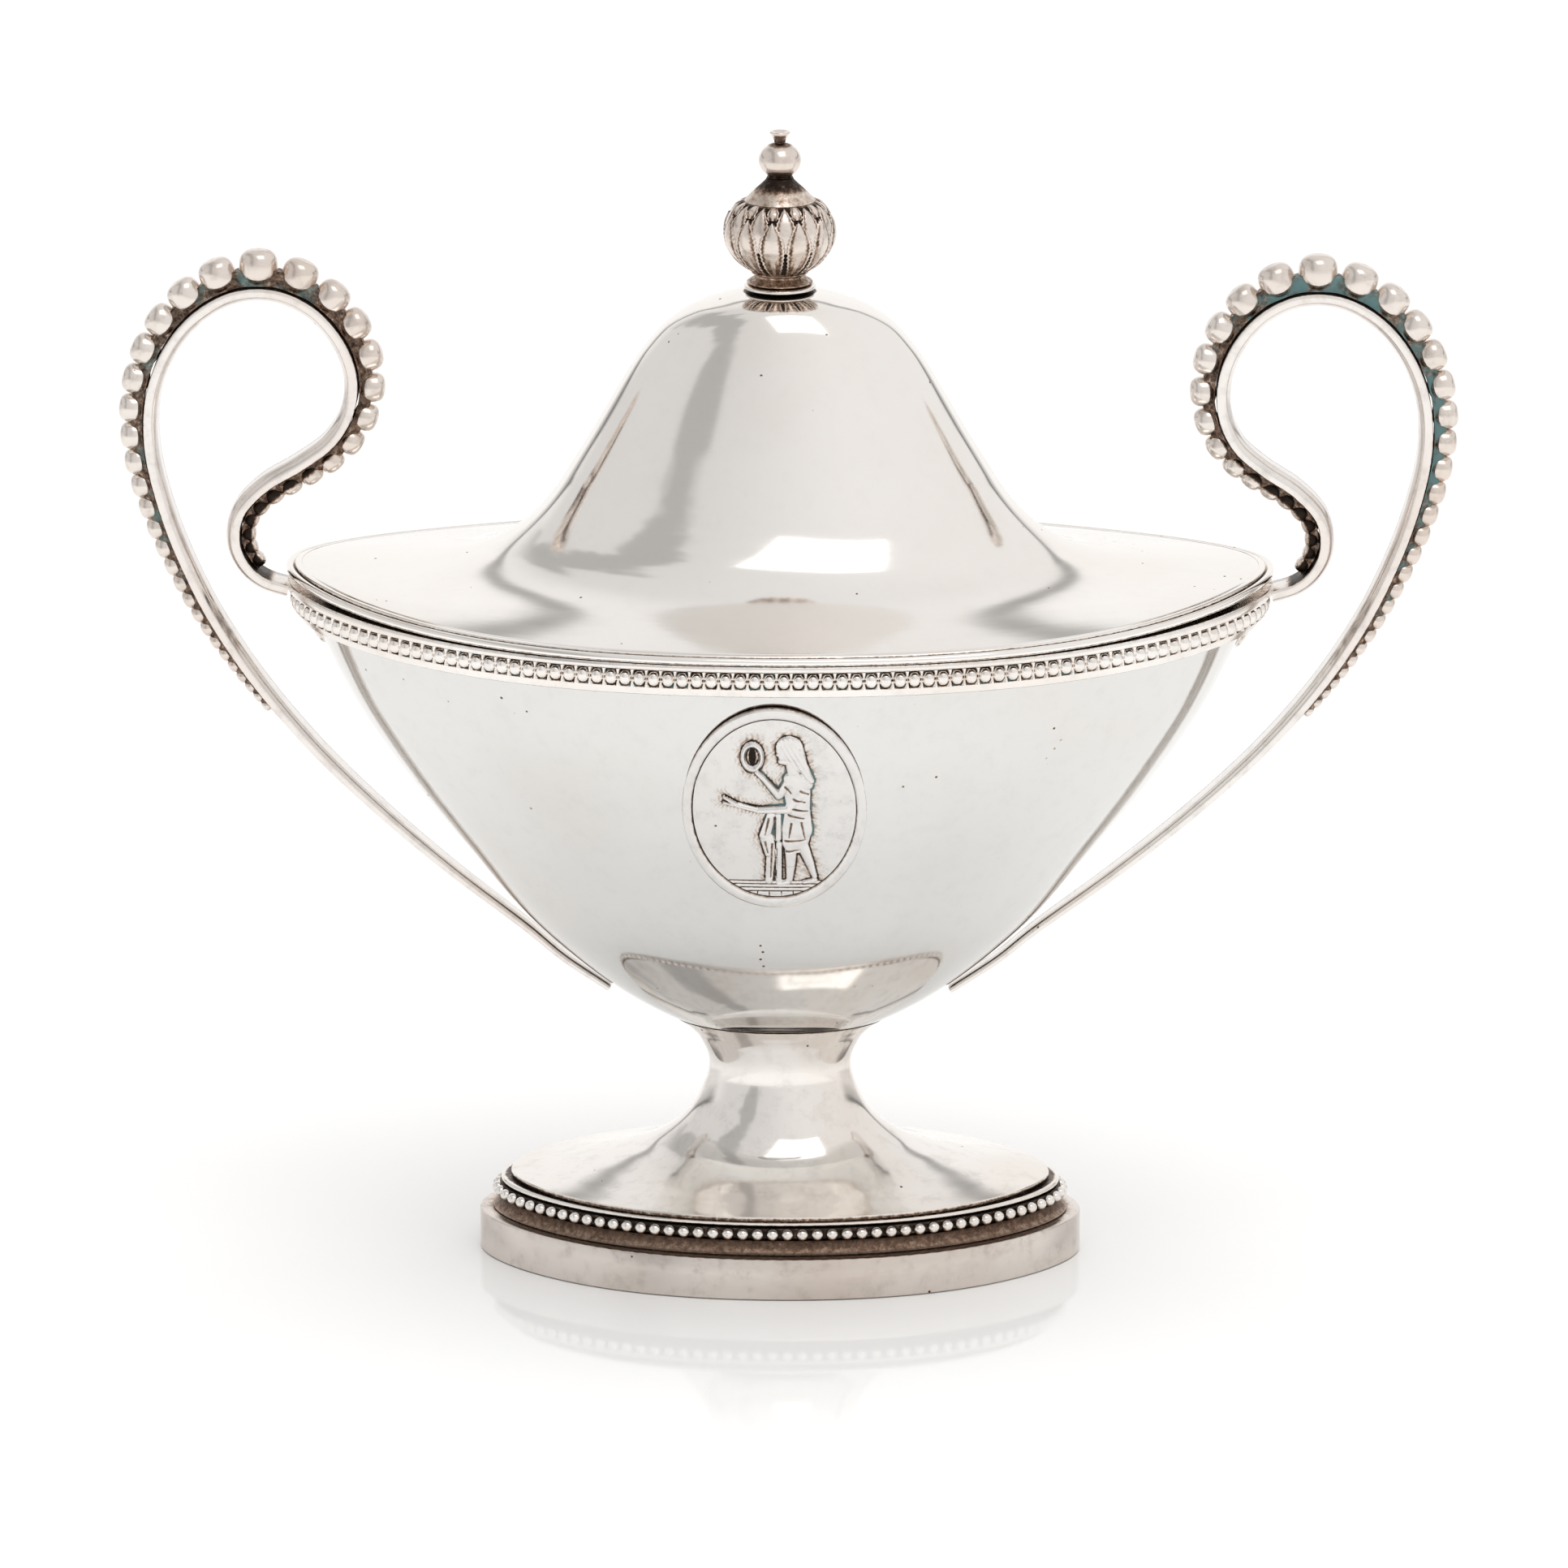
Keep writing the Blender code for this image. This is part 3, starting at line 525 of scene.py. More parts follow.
def make_foot():
    plinth = [
        (-1.5, 0.0),
        (-0.15, 0.0),
        (0.0, 0.15),
        (0.0, PLINTH_TOP - 0.35),
        (-0.12, PLINTH_TOP - 0.1),
        (-0.4, PLINTH_TOP),
        (-1.6, PLINTH_TOP),
        (-3.0, PLINTH_TOP),
        (-4.6, PLINTH_TOP),
        (-4.6, PLINTH_TOP - 0.9),
        (-1.5, PLINTH_TOP - 0.9),
    ]
    tarnish_and_shade_levels = column(0.3, 0.2, 0.08, 0.0, 0.0, 0.05, 0.3, 0.8, 0.95, 0.5, 0.4)
    ring("plinth", plinth, PLINTH, PLINTH_SILVER, "root", "satin_silver", "plinth_band", tarnish_and_shade_levels)

    hollow = arc((-1.55, 8.75), 1.8, 250, 175, 9)
    cove = [(-4.4, PLINTH_TOP + 0.25), (-2.3, PLINTH_TOP + 0.25), *hollow, (-3.3, 9.1), (-4.6, 9.1)]
    tarnish_and_shade_levels = (0.42 + 0.3 * np.linspace(0, 1, len(cove)))[:, None]
    ring("plinth_cove", cove, PLINTH, COVE_SILVER, "root", "tarnished_silver", "foot_cove", tarnish_and_shade_levels)

    back = [(-4.8, 9.35), (-3.5, 9.35), (-3.25, 9.6), (-3.5, 10.2), (-3.3, 10.9)]
    back += [(-3.5, 11.15), (-4.8, 11.15)]
    shape = Shape().grid(oval_rows(back, *PLINTH), section=True, tarnish=0.85)
    length, width = PLINTH_LENGTH - FOOT_BEADS_IN, PLINTH_WIDTH - FOOT_BEADS_IN
    angle = even_turns(length, width, FOOT_BEADS)
    x, y = oval(length, width, angle)
    ahead = np.array(oval(length, width, angle + 0.001)) - np.array([x, y])
    for i in range(FOOT_BEADS):
        along = np.array([ahead[0][i], ahead[1][i], 0]) / np.hypot(ahead[0][i], ahead[1][i])
        outward = np.array([along[1], -along[0], 0])
        centre = (x[i], y[i], FOOT_BEAD_HEIGHT)
        bead(shape, centre, along, outward, FOOT_BEAD_RADII, tarnish_below=-0.3)
    shape.make("foot_beading", TRIM_SILVER, "root", "satin_silver", "foot_bead_ring")

    lip = [(-5.9, 11.4), (-4.0, 11.4), *arc((-3.95, 11.83), 0.43, -80, 80, 9), (-4.4, 12.27), (-6.2, 12.27)]
    tarnish_and_shade_levels = column(0.9, 0.7, *([0.0] * 9), 0.7, 0.9)
    ring("foot_small_lip", lip, PLINTH, FOOT_SILVER, "root", "polished_silver", "foot_lip", tarnish_and_shade_levels)

    curve = smooth(FOOT_PROFILE, 10)
    edge = [(44.55, 26.75, 12.95), (44.4, 26.6, 12.65), (43.9, 26.1, 12.5)]
    under = [(a - 0.85, b - 0.75, z - 0.75) for a, b, z in curve[3:60]]
    under += [(a - 0.9, b - 0.85, z + 0.05) for a, b, z in curve[66:95]]
    outline = [*under[::-1], *edge[::-1], *curve]
    rows = outline_rows(outline)
    rank = np.arange(len(outline))
    tarnish_and_shade_levels = np.where(rank < len(under), 0.35, 0.0) + 0.45 * soft_step(rows[:, 0, 2], 39.3, 39.65)
    tarnish_and_shade_levels[len(under) : len(under) + 3] = 0.6
    Shape().grid(rows, section=True, tarnish=tarnish_and_shade_levels[:, None]).make(
        "foot_stem_and_plate", FOOT_SILVER, "root", "polished_silver", "foot_trumpet"
    )


# ---------------------------------------------------------------- lid


def lid_rows(shares, lower=0.0):
    """Rows of the lid's brim, from its edge (share 0) to the base of the dome (share 1)."""
    angle = turns(SIDES)
    cosine, sine = np.cos(angle), np.sin(angle)
    base_length, base_width, base_height = DOME_PROFILE[-1]
    edge_x, edge_y = oval(LID_LENGTH, LID_WIDTH, angle)
    edge_height = LID_EDGE + LID_RISE * cosine**4
    along, across = base_length * cosine - edge_x, base_width * sine - edge_y
    climb = base_height - edge_height
    slope = SLOPE_AT_ENDS * cosine**2 + SLOPE_AT_SIDES * sine**2
    even = EVEN_AT_ENDS * cosine**2 + EVEN_AT_SIDES * sine**2
    power = (slope * np.hypot(along, across) / climb - even) / (1 - even)
    rows = []
    for share in shares:
        height = edge_height + climb * (even * share + (1 - even) * share**power)
        rows.append(np.stack([edge_x + along * share, edge_y + across * share, height - lower], axis=-1))
    return rows


def dome_rows(profile):
    angle = turns(SIDES)
    return [np.stack([a * np.cos(angle), b * np.sin(angle), 0 * angle + z], axis=-1) for a, b, z in profile]


def make_lid():
    wall = 0.85
    dome = smooth(DOME_PROFILE, 14)[::-1][1:]
    outside = lid_rows(np.linspace(0.008, 1, 90))
    outside += dome_rows(dome)
    lip = oval_rows([(0.0, LID_EDGE - 0.12), (-0.02, LID_EDGE - 0.45)], LID_LENGTH, LID_WIDTH, LID_RISE)
    inner_dome = [(max(a - 0.8, 1.9), max(b - 0.7, 1.9), z - 0.6) for a, b, z in dome]
    inside = lid_rows(np.linspace(0.02, 0.98, 40), wall) + dome_rows(inner_dome)
    rows = np.array([*inside[::-1], *lip[::-1], *outside])
    rank = np.arange(len(rows))
    first_outside = len(inside) + 2
    tarnish_and_shade_levels = np.where(rank < len(inside), 0.25, 0.0)
    tarnish_and_shade_levels[len(inside) : first_outside] = 0.3
    radius = np.hypot(rows[..., 0], rows[..., 1])
    collar = 0.85 * soft_step(-radius, -6.2, -5.7) * (rank >= first_outside)[:, None]
    Shape().grid(rows, section=True, tarnish=np.maximum(tarnish_and_shade_levels[:, None], collar)).make(
        "lid_dome_and_brim", LID_SILVER, "lid", "polished_silver", "lid_shell"
    )

    z = LID_BOTTOM
    roll = arc((1.88, z + 0.52), 0.62, -35, 150, 14)
    moulding = [
        (-1.65, z),
        (2.2, z),
        (2.42, z + 0.06),
        (2.45, z + 0.14),
        *roll,
        (1.22, z + 0.66),
        (1.12, z + 0.72),
        (1.05, z + 0.95),
        (0.96, z + 1.16),
        (0.8, z + 1.27),
        (0.0, z + 1.26),
        (0.0, z + 0.3),
        (-1.65, z + 0.3),
    ]
    # The dark line in the groove above the roll is tarnish. The darkening in the crease under the roll is
    # partly tarnish and partly a painted shadow line. All of it is strongest on the front half and faint at
    # the back.
    front = 0.12 + 0.88 * soft_step(-np.sin(turns(SIDES)), -0.15, 0.2)
    tarnish_and_shade_levels = column(0.4, 0.3, 0.1, 0.6, 0.4, *([0.0] * 12), 0.3, 0.95, 1.0, 0.75, 0.15, 0.0, 0.0, 0.3, 0.5)
    look = (LID_SILVER, "lid", "polished_silver")
    ring("lid_edge_moulding", moulding, LID, *look, "lid_moulding", tarnish_and_shade_levels * front, LID_RISE)

    low, high = cad("lid_bezel")
    bottom, top = low[2], LID_BOTTOM + 0.2
    bezel = [(-0.9, bottom + 0.2), (-0.7, bottom), (-0.2, bottom), (0.0, bottom + 0.2)]
    bezel += [(0.0, (bottom + top) / 2, RIM_RISE), (0.0, top, LID_RISE), (-0.9, top, LID_RISE)]
    look = (TRIM_SILVER, "lid", "satin_silver")
    ring("lid_inner_wall", bezel, high[:2], *look, "lid_bezel", 0.95, RIM_RISE)


# ---------------------------------------------------------------- finial

LEAVES = 12
LEAF_STEPS = 44
BUD_PROFILE = [
    (5.2, 163.62),
    (5.3, 163.85),
    (4.6, 164.3),
    (4.1, 164.75),
    (4.15, 165.1),
    (4.6, 165.35),
    (4.5, 165.75),
    (5.4, 166.35),
    (6.75, 167.5),
    (8.0, 169.3),
    (8.55, 171.2),
    (8.5, 173.2),
    (7.9, 174.9),
    (7.0, 176.3),
    (5.9, 177.15),
]
BALL_CENTRE, BALL_RADIUS, BALL_HALF_HEIGHT = 183.75, 3.42, 2.95
CAP_PROFILE = [(5.75, 177.2), (5.3, 177.7), (4.2, 178.8), (3.1, 179.8), (2.35, 180.55), (2.2, 180.85)]


def leaf(angle, height, low, top, offset, width):
    """The relief of one row of leaves, and how deep in a hollow of a leaf each point lies."""
    share = np.clip((height - low) / (top - low), 0, 1)
    tip = np.clip((share - 0.5) / 0.5, 0, 1)
    outline = np.where(share < 0.5, 0.72 + 0.28 * np.sin(share * math.pi), 1 - tip**2.1)
    pitch = TAU / LEAVES
    across = (angle + offset * pitch + pitch / 2) % pitch - pitch / 2
    jag = 1 + 0.05 * np.sin(height * 9 + 3 * np.sign(across))
    x = np.abs(across) / (0.5 * pitch * width * np.maximum(outline * jag, 1e-4))
    inside = soft_step(1.03 - x, 0.0, 0.09) * (height > low) * (height < top)
    border = np.exp(-(((x - 0.9) / 0.1) ** 2))
    belly = np.sqrt(np.clip(1 - (x / 0.8) ** 2, 0, 1)) * soft_step(share, 0.1, 0.6)
    relief = inside * (0.38 + 0.5 * belly + 0.34 * border)
    hollow = inside * (1 - border) * soft_step(x, 0.3, 0.7)
    foot = inside * (1 - border) * soft_step(-share, -0.6, -0.1) * soft_step(x, 0.05, 0.3)
    return relief, np.maximum(hollow, foot)


def make_bud():
    curve = smooth(BUD_PROFILE, 12)
    angle = turns(LEAVES * LEAF_STEPS)
    height = curve[:, 1][:, None] + 0 * angle
    radius = curve[:, 0][:, None] + 0 * angle
    twist = angle + TAU / 4 + 0.13
    front, front_hollow = leaf(twist, height, 165.7, 175.2, 0.0, 0.94)
    behind, behind_hollow = leaf(twist, height, 170.0, 177.1, 0.5, 0.8)
    tips, tips_hollow = leaf(twist, height, 175.3, 177.5, 0.0, 0.5)
    second = np.maximum(behind * 0.62, tips * 0.75)
    relief = np.maximum(front, second)
    leafy = soft_step(height, 165.4, 166.0) * soft_step(177.3 - height, 0.0, 0.5)
    radius = radius + 0.72 * relief * leafy
    rows = np.stack([radius * np.cos(angle), radius * np.sin(angle), height], axis=-1)
    groove = 1 - soft_step(relief, 0.1, 0.3)
    hollow = np.where(front > second, front_hollow, behind_hollow + tips_hollow)
    tarnish_and_shade_levels = leafy * np.clip(groove + 0.62 * hollow, 0, 1) + (1 - leafy) * 0.5
    closing = [(2.0, 177.1), (2.0, 163.62)]
    rows = np.concatenate([rows, turned_rows(closing, len(angle))])
    tarnish_and_shade_levels = np.concatenate([tarnish_and_shade_levels, np.full((2, len(angle)), 0.8)])
    Shape().grid(rows, section=True, tarnish=tarnish_and_shade_levels).make(
        "finial_leaves", CHASED, "lid", "tarnished_silver", "finial_bud", sharp=70
    )

    cap = smooth(CAP_PROFILE, 6)
    tarnish_and_shade_levels = 0.34 + 0.5 * soft_step(cap[:, 1], 178.4, 179.8)
    rows = turned_rows([*cap, (0.6, 180.87), (0.6, 177.25)])
    tarnish_and_shade_levels = np.concatenate([tarnish_and_shade_levels, [0.9, 0.9]])[:, None]
    Shape().grid(rows, section=True, tarnish=tarnish_and_shade_levels).make("finial_cone", CHASED, "lid", "satin_silver")


def make_finial():
    make_bud()
    ball = arc((0.0, 0.0), 1.0, -62, 62, 25)
    profile = [(BALL_RADIUS * r, BALL_CENTRE + BALL_HALF_HEIGHT * z) for r, z in ball]
    profile = [(1.5, 181.0), (2.1, 181.05), *profile[1:-1], (1.15, 186.5), (0.9, 186.6)]
    height = np.array([z for _, z in profile])
    tarnish_and_shade_levels = 0.75 * (1 - soft_step(height, 181.2, 182.0)) + 0.7 * soft_step(height, 185.9, 186.4)
    Shape().grid(turned_rows(profile), caps=(True, True), tarnish=tarnish_and_shade_levels[:, None]).make(
        "finial_small_ball", CHASED, "lid", "satin_silver", "finial_ball"
    )

    top = BUTTON_TOP
    flare = [(0.9, 186.75), (0.95, 187.1), (1.15, 187.55), (1.5, 188.0), (1.62, 188.3), (1.55, top - 0.03)]
    cup = [(1.35, top), (1.15, top - 0.08), (0.7, top - 0.3), (0.25, top - 0.38)]
    rows = turned_rows([*smooth(flare, 4), *cup], 48)
    tarnish_and_shade_levels = np.interp(rows[:, 0, 2], [186.7, 187.3, 188.0], [0.9, 0.55, 0.0])
    Shape().grid(rows, caps=(True, True), tarnish=tarnish_and_shade_levels[:, None]).make(
        "finial_top_button", CHASED, "lid", "satin_silver", "finial_button"
    )

    collar = [(2.0, 162.7), (5.5, 162.7), *arc((5.55, 163.0), 0.32, -80, 80, 7), (4.9, 163.45), (2.0, 163.4)]
    tarnish_and_shade_levels = np.array([0.9, 0.9, *([0.05] * 7), 0.75, 0.9])[:, None]
    Shape().grid(turned_rows(collar), section=True, tarnish=tarnish_and_shade_levels).make(
        "finial_collar_ring", TRIM_SILVER, "lid", "satin_silver", "finial_collar"
    )


# ---------------------------------------------------------------- handles

HANDLE_ROUTE = [
    (79.8, 113.2),
    (83.7, 114.5),
    (86.4, 116.9),
    (87.8, 120.5),
    (87.0, 125.0),
    (83.2, 129.1),
    (77.6, 132.6),
    (72.6, 136.6),
    (69.6, 142.0),
    (69.1, 148.2),
    (71.3, 154.3),
    (75.9, 159.6),
    (82.2, 162.5),
    (89.2, 162.2),
    (95.7, 158.6),
    (100.6, 152.6),
    (103.4, 145.2),
    (103.9, 136.9),
    (102.3, 128.1),
    (99.0, 118.2),
    (93.8, 107.2),
    (86.6, 96.2),
    (77.2, 85.0),
    (66.4, 74.5),
    (55.0, 64.8),
]
TAIL_STARTS, TAIL_ENDS = 46.5, 27.5
TAIL_PLACES = [(0.30, 2.3), (0.62, 1.9), (1.0, 1.35)]
STRIP_WIDTH, STRIP_THICKNESS, STRIP_EDGE, STRIP_CHAMFER = 6.8, 2.3, 1.3, 1.5
TAIL_WIDTH, TAIL_THICKNESS = 4.6, 0.9
TAPER_STARTS = 0.62
BEADS_BEFORE_TOP, BEADS_AFTER_TOP = 16, 24
BEAD_PITCH, PITCH_RATIO_UP, PITCH_RATIO_DOWN = 5.7, 0.95, 0.955
BEAD_TOP_AT, BEAD_TOP_PAST = 12, 2.9
BEAD_HEIGHT, HEIGHT_POWER = 5.9, 1.2
BEAD_RADIUS_SHARE, BEAD_HALF_WIDTH, BEAD_CLEAN_FROM = 0.555, 2.95, 0.62
RIB_HALF_WIDTH = 2.75
BROWN_BEADS = 10  # from the rim on, the small beads stay brown
LEAN_LEFT, LEAN_RIGHT = -0.65, 1.9
LEAN_STARTS, LEAN_FULL, LEAN_FADES = 0.08, 0.22, 0.62
PATH_STEPS = 24


def handle_path():
    """The bead side of the strip in the XZ plane, and the distance along it of each point."""
    route = list(HANDLE_ROUTE)
    for share, lift in TAIL_PLACES:
        length = TAIL_STARTS + (TAIL_ENDS - TAIL_STARTS) * share
        height = np.interp(length, BOWL_CURVE[:, 0], BOWL_CURVE[:, 1])
        further = np.interp(length + 1.0, BOWL_CURVE[:, 0], BOWL_CURVE[:, 1])
        slope = math.atan2(further - height, 1.0)
        route.append((length + math.sin(slope) * lift, height - math.cos(slope) * lift))
    curve = smooth(route, PATH_STEPS)
    run = np.concatenate([[0], np.cumsum(np.linalg.norm(np.diff(curve, axis=0), axis=1))])
    return curve, run


PATH, RUN = handle_path()
LENGTH = RUN[-1]


def path_at(distance):
    """Points at distances along the path, the direction there, and the normal on the bead side."""
    distance = np.asarray(distance, float)
    step = 0.6
    points = []
    for place in (distance, distance + step, distance - step):
        points.append(np.stack([np.interp(place, RUN, PATH[:, k]) for k in (0, 1)], axis=-1))
    point, ahead, behind = points
    along = ahead - behind
    along /= np.linalg.norm(along, axis=-1, keepdims=True)
    return point, along, np.stack([-along[..., 1], along[..., 0]], axis=-1)


def lean_at(distance, side):
    """How far the handle at side * X leans away from the bowl there."""
    share = np.asarray(distance) / LENGTH
    amount = LEAN_RIGHT if side > 0 else LEAN_LEFT
    return amount * soft_step(share, LEAN_STARTS, LEAN_FULL) * (1 - soft_step(share, LEAN_FADES, 1.0))


def swept(distances, sections, side):
    """Rows of sections of (outward, across) points, stood on the handle's path."""
    point, _, normal = path_at(distances)
    point[:, 0] += lean_at(distances, side)
    rows = []
    for p, n, section in zip(point, normal, sections):
        section = np.array(section)
        x = p[0] + n[0] * section[:, 0]
        z = p[1] + n[1] * section[:, 0]
        rows.append(np.stack([side * x, section[:, 1], z], axis=-1))
    return np.array(rows)


def strip_section(distance):
    share = max((distance / LENGTH - TAPER_STARTS) / (1 - TAPER_STARTS), 0.0)
    half = (STRIP_WIDTH + (TAIL_WIDTH - STRIP_WIDTH) * share**2) / 2
    thick = STRIP_THICKNESS + (TAIL_THICKNESS - STRIP_THICKNESS) * share
    edge = STRIP_EDGE * thick / STRIP_THICKNESS
    chamfer = STRIP_CHAMFER * thick / STRIP_THICKNESS
    r = 0.22 * thick / STRIP_THICKNESS
    corner = [(0, half - r), (-0.3 * r, half - 0.3 * r), (-r, half), (-edge + 0.5 * r, half)]
    corner += [(-edge - 0.3 * r, half - 0.35 * r), (-0.55 * (edge + thick), half - 0.5 * chamfer - 0.1 * r)]
    corner += [(-thick + 0.35 * r, half - chamfer), (-thick, half - chamfer - 1.4 * r)]
    return [*corner, *[(out, -across) for out, across in corner[::-1]]]


def bead_places():
    top = RUN[BEAD_TOP_AT * PATH_STEPS] + BEAD_TOP_PAST
    before, after = [], []
    place, pitch = top, BEAD_PITCH
    for _ in range(BEADS_BEFORE_TOP):
        place -= pitch
        pitch *= PITCH_RATIO_UP
        before.append((place, pitch))
    place, pitch = top, BEAD_PITCH
    for _ in range(BEADS_AFTER_TOP):
        place += pitch
        pitch *= PITCH_RATIO_DOWN
        after.append((place, pitch))
    return [*before[::-1], (top, BEAD_PITCH), *after]


def rib_section(wide, high):
    """The rib that the beads stand on: (outward, across) points."""
    half = [(0.25, wide), (0.5 * high, 0.97 * wide), (high, 0.62 * wide)]
    return [(0.25, -wide), *half, (high, 0), *[(out, -across) for out, across in half[:0:-1]]]


def make_handle(name, side, green_level):
    stations = np.linspace(0, LENGTH, 420)
    rows = swept(stations, [strip_section(s) for s in stations], side)
    beaded = soft_step(stations, 2.0, 4.0) * soft_step(bead_places()[-1][0] + 4 - stations, 0, 3)
    back = np.zeros(rows.shape[1])
    back[[0, 1, -2, -1]] = (0.85, 0.45, 0.45, 0.85)
    tarnish_and_shade_levels = beaded[:, None] * back
    Shape().grid(rows, caps=(True, True), tarnish=tarnish_and_shade_levels).make(
        f"{name}_strip", STRIP_SILVER, "root", "polished_silver", f"{name}_handle_strip"
    )

    places = bead_places()
    distance = np.array([place for place, _ in places])
    size = np.array([pitch / BEAD_PITCH for _, pitch in places])
    first = distance[0] - 0.5 * size[0] * BEAD_PITCH
    last = distance[-1] + 0.5 * size[-1] * BEAD_PITCH
    run = np.linspace(first, last, 500)
    scale = np.interp(run, distance, size)
    phase = np.interp(run, distance, np.arange(len(places)))
    pinch = 0.5 + 0.5 * np.cos(TAU * phase)
    wide = RIB_HALF_WIDTH * scale**0.5 * (0.84 + 0.16 * pinch)
    high = (0.9 + 1.9 * (1 - pinch)) * scale**0.8
    rows = swept(run, [rib_section(w, h) for w, h in zip(wide, high)], side)
    lower = soft_step(run, LENGTH * 0.2, LENGTH * 0.3) * soft_step(LENGTH * 0.62 - run, 0, 20)
    green = (green_level * (0.35 + 0.65 * lower))[:, None]
    shape = Shape().grid(rows, caps=(True, True), tarnish=0.66, green=green)
    point, along, normal = path_at(distance)
    point[:, 0] += lean_at(distance, side)
    brown = 1.2 * (1 - soft_step(np.arange(len(size)), 0.4 * BROWN_BEADS, BROWN_BEADS))
    for i, s in enumerate(size):
        top = BEAD_HEIGHT * s**HEIGHT_POWER
        radius = BEAD_RADIUS_SHARE * BEAD_PITCH * s
        rise = top / 2
        across = BEAD_HALF_WIDTH * s**0.8
        centre = point[i] + normal[i] * (top - rise)
        bead(
            shape,
            (side * centre[0], 0, centre[1]),
            (side * along[i][0], 0, along[i][1]),
            (side * normal[i][0], 0, normal[i][1]),
            (radius, across, rise),
            rings=15,
            sides=28,
            tarnish_below=brown[i] - BEAD_CLEAN_FROM,
            fullness=0.72,
        )
    shape.make(f"{name}_graduated_beads", CHASED, "root", "tarnished_silver", f"{name}_handle_beads")


TONGUE_TOP, TONGUE_LENGTH = 106.15, 3.1
TONGUE_HALF_WIDTH, TONGUE_THICKNESS = 2.2, 1.0


def make_tongue(name, side):
    rows = []
    for share in np.linspace(0, 1, 14):
        z = TONGUE_TOP - TONGUE_LENGTH * share
        half = TONGUE_HALF_WIDTH * math.sqrt(max(1 - share**2.4, 0.02))
        wall = np.interp(z - bowl_rise(z), BOWL_CURVE[:, 1], BOWL_CURVE[:, 0]) + 0.35
        thick = TONGUE_THICKNESS * (1 - 0.45 * share)
        across = [-half, half, half, 0.6 * half, 0, -0.6 * half, -half]
        out = [0, 0, 0.45 * thick, 0.9 * thick, thick, 0.9 * thick, 0.45 * thick]
        rows.append([(side * (wall + o), a, z) for o, a in zip(out, across)])
    Shape().grid(rows, caps=(True, True), tarnish=0.3).make(
        f"{name}_tongue", TRIM_SILVER, "root", "satin_silver", f"{name}_handle_tongue"
    )


# ---------------------------------------------------------------- medallion

MEDAL_HALF_WIDTH, MEDAL_HALF_HEIGHT, MEDAL_CENTRE = 14.7, 18.6, 86.1
FRAME_WIDTH = 1.6
GROUND = -13.5


def limb(u, v, start, end, start_radius, end_radius):
    """The signed distance of each point to a tapered limb, and the limb's radius beside it."""
    du, dv = end[0] - start[0], end[1] - start[1]
    share = np.clip(((u - start[0]) * du + (v - start[1]) * dv) / (du * du + dv * dv), 0, 1)
    radius = start_radius + (end_radius - start_radius) * share
    return np.hypot(u - start[0] - share * du, v - start[1] - share * dv) - radius, radius


def rounded(distance, radius, height):
    """The height of a round limb in low relief, from its signed distance."""
    depth = np.clip(-distance / radius, 0, 1)
    return height * np.sqrt(1 - (1 - depth) ** 2)


# A plain standing figure in a short tunic, made of limbs: start, end, radii, relief height.
FIGURE = [
    ((2.5, 11.5), (2.7, 10.7), 2.15, 2.15, 0.62),  # skull
    ((1.1, 10.9), (1.3, 9.8), 0.72, 0.6, 0.52),  # face
    ((0.5, 10.3), (0.8, 10.2), 0.16, 0.2, 0.4),  # nose
    ((1.1, 9.1), (2.0, 9.0), 0.45, 0.6, 0.46),  # jaw
    ((2.6, 9.2), (3.1, 7.2), 0.85, 1, 0.45),  # neck
    ((3.8, 10.8), (4.4, 8.1), 1.05, 1.05, 0.66),  # hair
    ((4.6, 8.1), (5.9, 5.6), 0.9, 0.55, 0.62),  # long hair
    ((2.6, 5.9), (4.9, 5.0), 1.15, 1.35, 0.6),  # shoulders
    ((3.6, 4.7), (3.8, 0.9), 2.25, 1.95, 0.66),  # chest
    ((3.7, 0.7), (3.6, -3.6), 2, 2.45, 0.68),  # hips
    ((3.6, -3.4), (3.3, -6.0), 2.45, 2.1, 0.6),  # skirt
    ((2.6, -6.6), (2.5, -10.1), 1.05, 0.8, 0.56),  # front leg
    ((2.5, -10.1), (2.3, -13.0), 0.8, 0.55, 0.5),
    ((2.1, -13.5), (0.5, -13.8), 0.5, 0.32, 0.5),  # front foot
    ((4.5, -6.8), (5.6, -10.1), 0.95, 0.68, 0.46),  # back leg
    ((5.6, -10.1), (6.3, -12.6), 0.66, 0.45, 0.42),
    ((6.4, -13.2), (4.6, -13.6), 0.42, 0.3, 0.42),  # back foot
    ((2.2, 5.2), (0.9, 3.0), 0.8, 0.7, 0.7),  # raised arm
    ((0.7, 2.9), (-1.6, 6.0), 0.66, 0.45, 0.72),
    ((-1.7, 6.1), (-2.7, 7.2), 0.5, 0.4, 0.7),  # hand
    ((4.2, 2.9), (2.4, 0.3), 0.85, 0.78, 0.78),  # lower arm
    ((2.4, 0.3), (-2.6, 0.2), 0.78, 0.52, 0.78),
    ((-2.6, 0.2), (-5.9, 1.1), 0.5, 0.42, 0.72),
    ((-5.9, 1.1), (-8.0, 2.6), 0.42, 0.2, 0.66),  # open hand
    ((-6.2, 1.1), (-8.1, 1.5), 0.3, 0.15, 0.6),
    ((-0.5, -0.9), (-1.5, -4.7), 0.75, 0.95, 0.52),  # cloth over the arm
    ((0.6, -0.9), (0.5, -5.2), 0.55, 0.6, 0.48),
    ((-1.2, -5.2), (-0.7, -8.1), 1.15, 0.9, 0.5),
    ((-0.6, -8.3), (-1.0, -13.4), 0.75, 0.6, 0.42),
    ((0.7, -6.3), (0.6, -13.4), 0.5, 0.5, 0.4),
]

